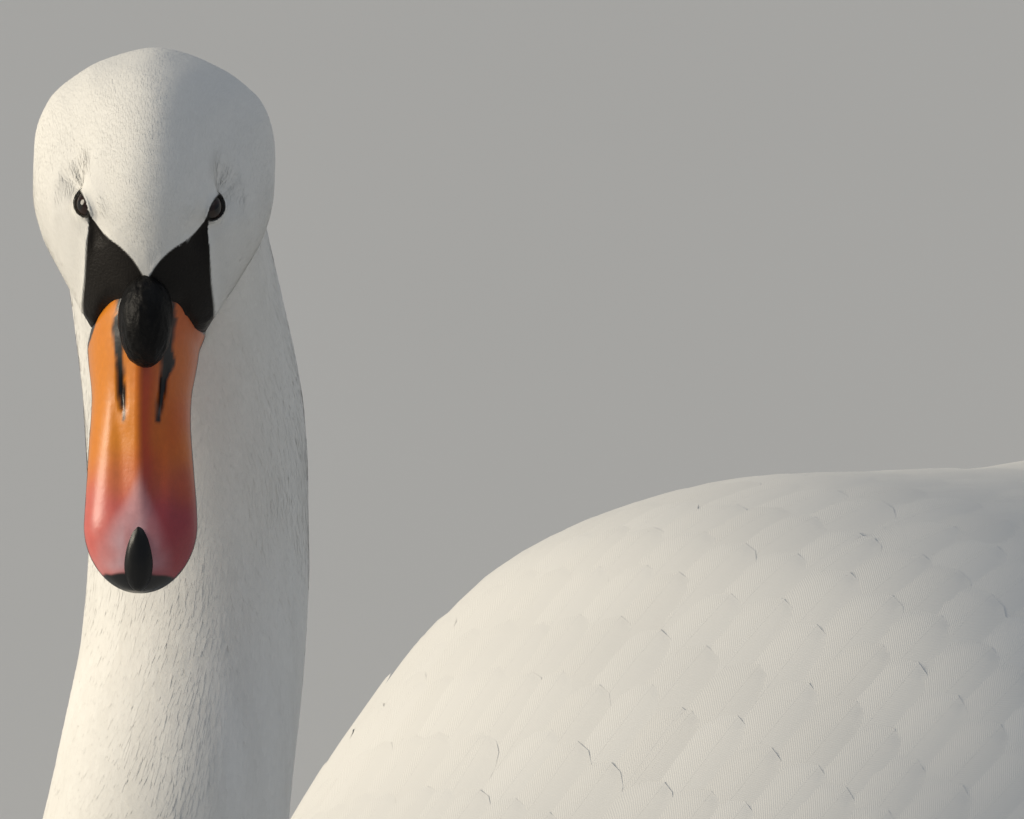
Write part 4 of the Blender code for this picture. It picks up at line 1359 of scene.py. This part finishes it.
def closed_vane(columns=5):
    """Runs, sides, widths, sheets (1 above, -1 below, 0 on the edge) and triangles of a vane."""
    rows = len(VANE_WIDTHS) - 2
    places_of, number, faces = [], {}, []

    def vertex(row, column, sheet):
        if row in (0, rows + 1) or column in (0, columns - 1):
            sheet = 0
        column = 0 if row in (0, rows + 1) else column
        key = (row, column, sheet)
        if key not in number:
            number[key] = len(places_of)
            places_of.append((VANE_RUNS[row], 2 * column / (columns - 1) - 1, VANE_WIDTHS[row], sheet))
        return number[key]

    for sheet in (1, -1):
        for column in range(columns - 1):
            for row in range(rows + 1):
                a, b = vertex(row, column, sheet), vertex(row + 1, column, sheet)
                c, d = vertex(row + 1, column + 1, sheet), vertex(row, column + 1, sheet)
                for face in ((a, b, c), (a, c, d)):
                    if len(set(face)) == 3:
                        faces.append(face if sheet < 0 else face[::-1])
    runs, sides, widths, sheets = np.array(places_of, float).T
    return runs, sides, widths, sheets, np.array(faces)


VANE = closed_vane()
VANE_THICK = 0.6 * MM
VANE_INSIDE = -12 * MM  # a vane whose middle lies deeper under the skin than this is left out
VANE_CLEAR, CLEAR_DEPTH, CLEAR_SHARE = 3.0 * MM, 4.5 * MM, 0.8  # the least height over the skin, by its depth
CLEAR_EASE = 2.5 * MM  # how softly that begins
VANE_UNEVEN = 0.06 * MM  # vanes lie higher or lower than planned by up to this much
print("triangles in a vane:", len(VANE[4]))

# %% [markdown]
# ## The finish of a vane
# A vane is a comb of barbs that slant away from a pale shaft. Each vertex carries its place on the
# vane, along and across, and the finish draws thin slanting ridges and the shaft from it.

# %% Barbs and shaft
vane_finish, vane_tree, vane_shader = finish_of("vane_feather", 0.62, sheen=0.1)
colour = add_node(vane_tree, "ShaderNodeVertexColor", layer_name="paint")
spot_on_vane = add_node(vane_tree, "ShaderNodeVertexColor", layer_name="vane")
parts = add_node(vane_tree, "ShaderNodeSeparateColor")
vane_tree.links.new(spot_on_vane.outputs["Color"], parts.inputs["Color"])


def maths(tree, operation, first, second=None):
    """A step of arithmetic on sockets or numbers."""
    node = add_node(tree, "ShaderNodeMath", operation=operation)
    for slot, value in zip(node.inputs, (first, second)):
        if isinstance(value, (int, float)):
            slot.default_value = value
        elif value is not None:
            tree.links.new(value, slot)
    return node.outputs[0]


BARB, BARB_SLANT, SHAFT_HALF = 1.3 * MM, 1.2, 0.9 * MM
BARB_HIGH, SHAFT_HIGH = 0.25, 0.06 * MM  # the barbs' height as a share of the shaft's
across = maths(vane_tree, "ABSOLUTE", parts.outputs["Green"])
slanted = maths(vane_tree, "SUBTRACT", parts.outputs["Red"], maths(vane_tree, "MULTIPLY", across, BARB_SLANT))
ridges = maths(vane_tree, "SINE", maths(vane_tree, "MULTIPLY", slanted, 2 * math.pi / BARB))
shaft = maths(vane_tree, "LESS_THAN", across, SHAFT_HALF)
height = maths(vane_tree, "ADD", maths(vane_tree, "MULTIPLY", ridges, BARB_HIGH), shaft)
add_bump(vane_tree, vane_shader, height, SHAFT_HIGH)
vane_tree.links.new(colour.outputs["Color"], vane_shader.inputs["Base Color"])


# %% Lay vanes on a form
def over_skin(points):
    """How high points lie over the skin, and the way straight out of it."""
    spot, out = ground.nearest(points)
    return ((points - spot) * out).sum(1), out


def clear_of_skin(points, clear):
    """Moves points that lie less than their own clearance over the skin out to it, with a soft start."""
    over, out = over_skin(points)
    short = np.clip((clear - over) / CLEAR_EASE, -30, 12)
    return points + out * (CLEAR_EASE * np.log1p(np.exp(short)))[:, None]


def front_down(points):
    """Draws the wing's front edge down to the skin, so that the breast's feathers run over it."""
    over, out = over_skin(points)
    front = 1 - ramp(points[:, 1] - WING_FRONT, 0.0, FRONT_RAMP)
    return points - out * (np.maximum(over - MM, 0) * 0.9 * front)[:, None]


def form_normals(form, behind, turn, side):
    """The way straight out of a form, at each place."""
    along = form(behind + MM, turn, 0.0, side) - form(behind - MM, turn, 0.0, side)
    round_it = form(behind, turn + 0.5, 0.0, side) - form(behind, turn - 0.5, 0.0, side)
    out = unit(np.cross(along, round_it))
    outwards = form(behind, turn, -MM, side) - form(behind, turn, 0.0, side)
    return out * np.sign((out * outwards).sum(-1, keepdims=True))


ARCH = 0.02  # how far a vane's edges lie deeper than its shaft, as a share of its width


def lay_vanes(name, form, starts, ends, widths, depths, tilt, side, seed, loose=1.0):
    """One piece of vanes on a form.

    Starts and ends are (behind, turn), widths and depths (root, tip) are in metres, tilt lays one edge
    deeper than the other, and loose says how far the vanes stray from their rows.
    """
    rng = np.random.default_rng(seed)
    runs, sides, widths_at, sheets, faces = VANE
    starts, ends, depths = (np.asarray(v, float)[:, None] for v in (starts, ends, depths))
    count = len(starts)
    wide = np.broadcast_to(np.asarray(widths, float), (count,))[:, None] * rng.uniform(0.92, 1.08, (count, 1))
    shift = loose * rng.normal(size=(count, 2)) * 0.10 * wide
    behind = starts[..., 0] + shift[:, :1] + (ends[..., 0] - starts[..., 0]) * runs
    middle_way = starts[..., 1] + (ends[..., 1] - starts[..., 1]) * runs
    centre = middle_way + shift[:, 1:] * (0.3 + runs) / metres_per_turn(form, behind, middle_way)
    off = sides * widths_at * wide / 2
    turn = centre + off / metres_per_turn(form, behind, centre)
    depth = depths[..., 0] + (depths[..., 1] - depths[..., 0]) * (1 - (1 - runs) ** 2)
    depth = depth + ARCH * wide * (sides * widths_at) ** 2 + tilt * sides * widths_at
    depth = depth + VANE_UNEVEN * rng.uniform(-1, 1, (count, 1)) - sheets * VANE_THICK / 2
    points = form(behind, turn, depth, side)
    if form is wing_form:
        middle_vertex = np.argmin(np.abs(runs - 0.48) + np.abs(sides) + (sheets < 0))
        kept = signed_distance(points[:, middle_vertex].tolist(), ground.tree) > VANE_INSIDE
        count = int(kept.sum())
        points, depth, off = points[kept], depth[kept], off[kept]
        behind, turn, centre = behind[kept], turn[kept], centre[kept]
        clear = VANE_CLEAR + (CLEAR_DEPTH - depth.ravel()) * CLEAR_SHARE
        points = front_down(clear_of_skin(points.reshape(-1, 3), clear)).reshape(points.shape)
    out = form_normals(form, behind, turn, side) * np.where(sheets < 0, -1.0, 1.0)[None, :, None]
    tint = feather_white(0.10 + 0.04 * rng.normal(size=count))
    # painted shade: the root end of each vane, under the row before it, is painted a little darker
    colours = tint[:, None] * (0.97 - 0.05 * (runs < 0.2))[None, :, None]
    unrolled = np.stack([(v - v.min())[:, 0] / np.ptp(v) for v in (turn, behind)], -1)
    patch = own_patches(unrolled, sides * widths_at, runs)
    offset = (np.arange(count) * len(runs))[:, None, None]
    whole = faces[:, ::-1] if side < 0 else faces
    plush = np.tile(np.where(sheets == 0, 1.0, 0.5), count)[:, None]
    piece = add_mesh(
        name, points.reshape(-1, 3), (whole[None] + offset).reshape(-1, 3), vane_finish,
        colours.reshape(-1, 3), patch.reshape(-1, 2), out.reshape(-1, 3), plush,
    )
    root, tip = (form(behind[:, k], centre[:, k], 0.0, side) for k in (0, -1))
    length = np.linalg.norm(tip - root, axis=-1)[:, None]
    set_layer(piece, "vane", np.stack([(runs * length).ravel(), off.ravel(), np.ones(off.size)], -1))
    return piece


def rows_of(first, last, rows, turn_first, turn_last, length, width, packing=0.62):
    """Staggered rows over part of the wing, growing to the rear: starts, ends and widths."""
    starts, ends, widths = [], [], []
    for row in range(rows):
        share = row / max(rows - 1, 1)
        behind = first + (last - first) * share
        long = length[0] + (length[1] - length[0]) * share
        wide = width[0] + (width[1] - width[0]) * share
        halfway = np.array([behind + long / 2]), np.array([(turn_first + turn_last) / 2])
        arc = (turn_last - turn_first) * float(metres_per_turn(wing_form, *halfway)[0])
        count = max(2, round(arc / (wide * packing)))
        for k in range(count + 1):
            turn = turn_first + (turn_last - turn_first) * (k + 0.5 * (row % 2)) / count
            if turn <= turn_last + 0.5:
                starts.append((behind, turn))
                ends.append((behind + long, turn * 0.985))
                widths.append(wide)
    return np.array(starts), np.array(ends), np.array(widths)


# %% [markdown]
# ## Rows of feathers
# Short feathers are sown on the beds, as on the skin, so the lower edge and the shoulder are soft,
# and the rows of vanes go over them. A vane whose middle would lie deep inside the body is left out.

# %% Build both wings
OUTER_FACING, OVER_SKIN = 0.25, 3 * MM  # a bed has feathers where it faces outwards and is over the skin
SIDES = ((1, "left"), (-1, "right"))


def fan(count, starts, ends):
    """Starts and ends of a fan of vanes, each given as (behind, turn) for the first vane and the last."""
    share = np.linspace(0, 1, count)[:, None]
    return [np.array(first) + (np.array(last) - first) * share for first, last in (starts, ends)]


def feather_bed(name, bed, long, wide, spacing, rise, seed):
    """Short feathers all over a bed, lying to the rear; none grows past its end."""
    rng = np.random.default_rng(seed)
    own = Ground(bed)
    outer = (own.facing * from_body(own.middle)).sum(1) > OUTER_FACING
    roots, normals = sow(own, outer, spacing, rng)
    rear = own.points[:, 1].max() - 0.9 * long
    keep = (signed_distance(roots.tolist(), ground.tree) > OVER_SKIN) & (roots[:, 1] < rear)
    roots, normals = roots[keep], normals[keep]
    count = len(roots)
    ways = np.tile((0.0, 1.0, 0.0), (count, 1)) + 0.12 * rng.normal(size=(count, 3))
    tint = feather_white(0.12 + 0.06 * rng.normal(size=count))
    run, _, angle = along_line(roots)
    length, width = long * vary(rng, count, 0.15), wide * vary(rng, count, 0.15)
    height, camber = rise * vary(rng, count, 0.1), 2 * CAMBER * wide * vary(rng, count, 0.1)
    piece = grow(name, own, BODY_LEAF, roots, normals, ways, length, width, height, camber, tint, run, angle)
    place_piece(piece, "plumage")


# Primaries: seven long vanes whose tips cross the rump, the lowest the longest.
PRIMARIES = (*fan(7, ((0.46, 20), (0.46, 78)), ((0.64, 24), (0.70, 58))), 27 * MM)
# Secondaries and tertials: the upper ones lie over the lower ones.
SECONDARIES = (*fan(13, ((0.28, 43), (0.31, 89)), ((0.590, 40), (0.570, 88))), 42 * MM)
# Coverts: small ones in many rows, then two rows of long ones.
COVERTS = rows_of(0.0, 0.20, 13, 40, 91, (0.034, 0.068), (0.017, 0.030), 0.55)
LONG_COVERTS = rows_of(0.215, 0.235, 2, 41, 90, (0.095, 0.115), (0.034, 0.036))
# Scapulars: rows over the back, longer and broader to the rear, and longer still on the rump's middle.
LOWEST, LAST, LONGER = 44, 0.455, 0.035  # the turn and the place of their last roots, and metres more
SCAPULARS = rows_of(0.06, LAST, 16, 0, LOWEST, (0.050, 0.135), (0.022, 0.044), 0.55)
SCAPULARS[1][:, 0] += LONGER * (1 - SCAPULARS[1][:, 1] / LOWEST) * ramp(SCAPULARS[0][:, 0], 0.3, LAST)
WING_ROWS = [  # kind, its rows, how deep root and tip lie and the tilt in mm, seed, how loose
    ("primaries", PRIMARIES, np.linspace(7, 4, 7), 2.6, -1.0, 21, 0.3),
    ("secondaries", SECONDARIES, 2.8, 1.0, 0.6, 22, 0.5),
    ("coverts", COVERTS, 3.6, 1.4, 0.1, 23, 0.6),
    ("long_coverts", LONG_COVERTS, 3.4, 0.8, 0.3, 24, 1.0),
    ("scapulars", SCAPULARS, 3.0, 0.9, 0.1, 25, 0.6),
]

feather_bed("rump_down", beds["rump"], 36 * MM, 15 * MM, 6.5 * MM, 2.5 * MM, 310)
for side, word in SIDES:
    feather_bed(f"wing_down_{word}", beds[word], 26 * MM, 11 * MM, 6.0 * MM, 1.6 * MM, 300 + side)
    for kind, (starts, ends, widths), root, tip, tilt, seed, loose in WING_ROWS:
        depths = np.stack(np.broadcast_arrays(root, tip + np.zeros(len(starts))), -1) * MM
        name = f"{kind}_{word}_feathers"
        vanes = lay_vanes(name, wing_form, starts, ends, widths, depths, tilt * MM, side, seed, loose)
        place_piece(vanes, "plumage", *([f"primaries_{word}"] if kind == "primaries" else []))

# %% [markdown]
# ## The tail
# The tail is a fan of a dozen stiff vanes, the middle pair the longest and on top. Coverts hide their
# roots above and below.

# %% Build the tail
TAIL_LENGTH, TAIL_ROOT_HALF, TAIL_SPREAD = 0.208, 0.046, 0.080
TAIL_OUTER_SHORT, TAIL_STEP = 0.42, 1.5 * MM  # how much shorter the outer vanes are, and how much lower
TAIL_ROOT_UP, TAIL_RISE, TAIL_ARCH = 0.213, 0.032, 0.020
TAIL_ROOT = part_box("tail")[1].y - 0.200


def tail_form(behind, turn, depth, _):
    """World places on the fan: behind its root, turn from -90 at one edge to 90 at the other."""
    t, u = behind / TAIL_LENGTH, turn / 90
    half = TAIL_ROOT_HALF + (TAIL_SPREAD - TAIL_ROOT_HALF) * np.sin(np.pi / 2 * np.clip(t, -1, 1))
    up = TAIL_ROOT_UP + TAIL_RISE * t - TAIL_ARCH * u * u * np.clip(t, 0, 1)
    return np.stack([u * half, TAIL_ROOT + behind + 0 * up, up - depth], -1)


def tail_row(name, behind, long, count, spread, wide, root, tip, tilt, seed, *nodes):
    """One fan of vanes; root and tip say how deep each end of the middle vanes lies."""
    u = np.linspace(-1, 1, count)
    u = u[np.argsort(-np.abs(u))]
    starts = np.stack([np.full(count, behind), u * spread * 0.9], -1)
    ends = np.stack([behind + long * (1 - TAIL_OUTER_SHORT * np.abs(u) ** 1.25), u * spread], -1)
    depths = np.array([root, tip]) + TAIL_STEP * np.abs(u)[:, None]
    tilts = tilt * np.sign(u + 1e-9)[:, None]
    piece = lay_vanes(name, tail_form, starts, ends, wide, depths, tilts, 1, seed, loose=0.3)
    place_piece(piece, "plumage", *nodes)


TAIL_WIDE, COVERT_LONG = 30 * MM, 0.085
COVERT_FAN = (9, 76, 27 * MM)  # how many, how far they spread, and how wide they are
COVERT_ROWS = [(0.035, 4.5 * MM), (0.01, 8.5 * MM), (-0.02, 12.0 * MM)]  # behind the root, and how high
tail_row("tail_feathers", 0.0, TAIL_LENGTH - 8 * MM, 12, 86, TAIL_WIDE, 0.0, 0.5 * MM, 0.9 * MM, 31, "tail")
tail_row("tail_feathers_below", 0.0, TAIL_LENGTH - 22 * MM, 11, 80, TAIL_WIDE, 3.5 * MM, 2.5 * MM, 0.0, 32)
for number, (behind, high) in enumerate(COVERT_ROWS):
    tail_row(
        f"tail_coverts_above_{number}", behind, COVERT_LONG, *COVERT_FAN,
        -high, -1.5 * MM, 0.5 * MM, 33 + number,
    )
    tail_row(
        f"tail_coverts_below_{number}", behind - 0.05, COVERT_LONG + 0.045, *COVERT_FAN,
        high + MM, 5 * MM, 0.5 * MM, 36 + number,
    )
# %% [markdown]
# ## Legs, feet and claws
# A swan's legs are dark grey to black, covered in small scales, and its toes are webbed. The solids
# already have the toes and webs, so copies of them are merged, remeshed finely and smoothed, and the
# finish adds the scales. Each toe ends in a short curved claw, made as a tapering tube.

# %% Build the legs and feet
FOOT_BLACK, FOOT_GREY = np.array((0.020, 0.020, 0.021)), np.array((0.055, 0.053, 0.052))
FOOT_CELL, FOOT_SINK = 1.3 * MM, 0.2 * MM
FOOT_TURN, TOE_ANGLES, TOE_LENGTH = 6, (-17, 0, 16), 0.128
TOE_END, TOE_END_UP = 5 * MM, 3.6 * MM  # a claw starts inside the toe, this far from its end and this high
CLAW_LONG, CLAW_THICK, CLAW_HOOK = 9 * MM, 2.6 * MM, 1.6 * MM
HEEL_SIDE = 0.117  # from the bird's middle to the root of the toes


def make_limb(name, node):
    """A smooth, scaly copy of a leg's or a foot's solid."""
    limb = copy_of(name, [node])
    apply(limb, "REMESH", mode="VOXEL", voxel_size=FOOT_CELL)
    apply(limb, "SMOOTH", factor=0.5, iterations=5)
    move_to(limb, places(limb) - normals_of(limb) * FOOT_SINK)
    pick(limb)
    bpy.ops.object.shade_smooth()
    scales = ramp(grain(places(limb), 3 * MM, 51), -0.6, 0.6)
    paint(limb, mixed(FOOT_BLACK, FOOT_GREY, scales), foot_skin)
    place_piece(limb, "feet", node)


def make_claw(name, at, way):
    """A tapering, hooked tube from inside a toe's end."""
    forward = np.array((way[0], way[1], 0.0))
    across = np.array((-way[1], way[0], 0.0))
    up = np.array((0.0, 0.0, 1.0))

    def shape(turn, run):
        angle = 2 * np.pi * turn
        thick = CLAW_THICK / 2 * np.sqrt(np.maximum(1 - run**1.6, 0)) * ramp(run, -0.4, 0.08)
        rise = -CLAW_HOOK * run**2
        ring = np.cos(angle)[:, None] * across * 0.75 + np.sin(angle)[:, None] * up
        return at + forward * (CLAW_LONG * run)[:, None] + up * rise[:, None] + ring * thick[:, None]

    claw = tube(name, 16, 14, shape)
    paint(claw, HORN_BLACK * 1.6, black_horn)
    place_piece(claw, "horn")


for side, word in SIDES:
    make_limb(f"leg_skin_{word}", f"leg_{word}")
    make_limb(f"foot_skin_{word}", f"foot_{word}")
    toes_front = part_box(f"foot_{word}")[0].y
    heel = np.array((side * HEEL_SIDE, toes_front + TOE_LENGTH - 0.5 * MM, 0.0))
    for number, angle in enumerate(TOE_ANGLES):
        turned = math.radians(side * (FOOT_TURN + angle))
        way = np.array((math.sin(turned), -math.cos(turned)))
        reach = TOE_LENGTH * (1 - 0.10 * (angle / TOE_ANGLES[0]) ** 2) - TOE_END
        tip = heel + np.array((*(way * reach), TOE_END_UP))
        make_claw(f"claw_{word}_{number + 1}", tip, way)

# %% [markdown]
# ## Floor, light and camera
# A white animal needs a floor a little darker than itself, one broad warm light from one side, a
# weak cool one from the other and a dim blue sky, so that the shadow side keeps its form. The camera
# stands three metres away with a long lens and looks down by thirty degrees.

# %% Floor
bpy.ops.object.select_all(action="DESELECT")
bpy.ops.mesh.primitive_plane_add(size=120, location=(0, 0, 0))
floor = bpy.context.object
floor.name = "floor"
floor.data.materials.append(floor_paint)

# %% Light
def add_sun(name, side, up, toward, strength, colour, spread):
    """A soft distant light, placed by the camera's own sides: to its right, above, and behind it."""
    lamp = bpy.data.lights.new(name, "SUN")
    lamp.energy, lamp.color, lamp.angle = strength, colour, math.radians(spread)
    holder = bpy.data.objects.new(name, lamp)
    bpy.context.collection.objects.link(holder)
    way = VIEW_RIGHT * side + VIEW_UP * up + VIEW_BACK * toward
    holder.rotation_mode = "QUATERNION"
    holder.rotation_quaternion = way.to_track_quat("Z", "Y")


VIEW_TURN, VIEW_DROP = math.radians(35), math.radians(30)
VIEW_RIGHT = Vector((math.cos(VIEW_TURN), math.sin(VIEW_TURN), 0))
VIEW_BACK = Vector((
    math.sin(VIEW_TURN) * math.cos(VIEW_DROP), -math.cos(VIEW_TURN) * math.cos(VIEW_DROP), math.sin(VIEW_DROP)
))
VIEW_UP = VIEW_BACK.cross(VIEW_RIGHT)
add_sun("key_light", -0.93, 0.25, 0.26, 3.1, (1.0, 0.90, 0.74), 32)
add_sun("fill_light", 0.45, 0.75, 0.60, 0.30, (0.84, 0.90, 1.0), 60)
world = bpy.data.worlds.new("studio")
bpy.context.scene.world = world
world.use_nodes = True
sky = world.node_tree.nodes["Background"]
sky.inputs["Color"].default_value, sky.inputs["Strength"].default_value = (0.76, 0.85, 1.0, 1), 0.25
bpy.context.scene.view_settings.view_transform = "Standard"

# %% Camera
CAMERA_FAR, CAMERA_RIGHT, CAMERA_BELOW = 3.0, 0.1243, 0.0696
camera = bpy.data.objects.new("camera", bpy.data.cameras.new("camera"))
bpy.context.collection.objects.link(camera)
camera.data.sensor_width, camera.data.lens = 36, 308
camera.data.clip_start, camera.data.clip_end = 0.1, 200
spot = EYE_MIDPOINT + VIEW_BACK * CAMERA_FAR + VIEW_RIGHT * CAMERA_RIGHT - VIEW_UP * CAMERA_BELOW
turned = Matrix((VIEW_RIGHT, VIEW_UP, VIEW_BACK)).transposed().to_4x4()
camera.matrix_world = Matrix.Translation(spot) @ turned
bpy.context.scene.camera = camera
print("camera at", tuple(round(v, 3) for v in spot))
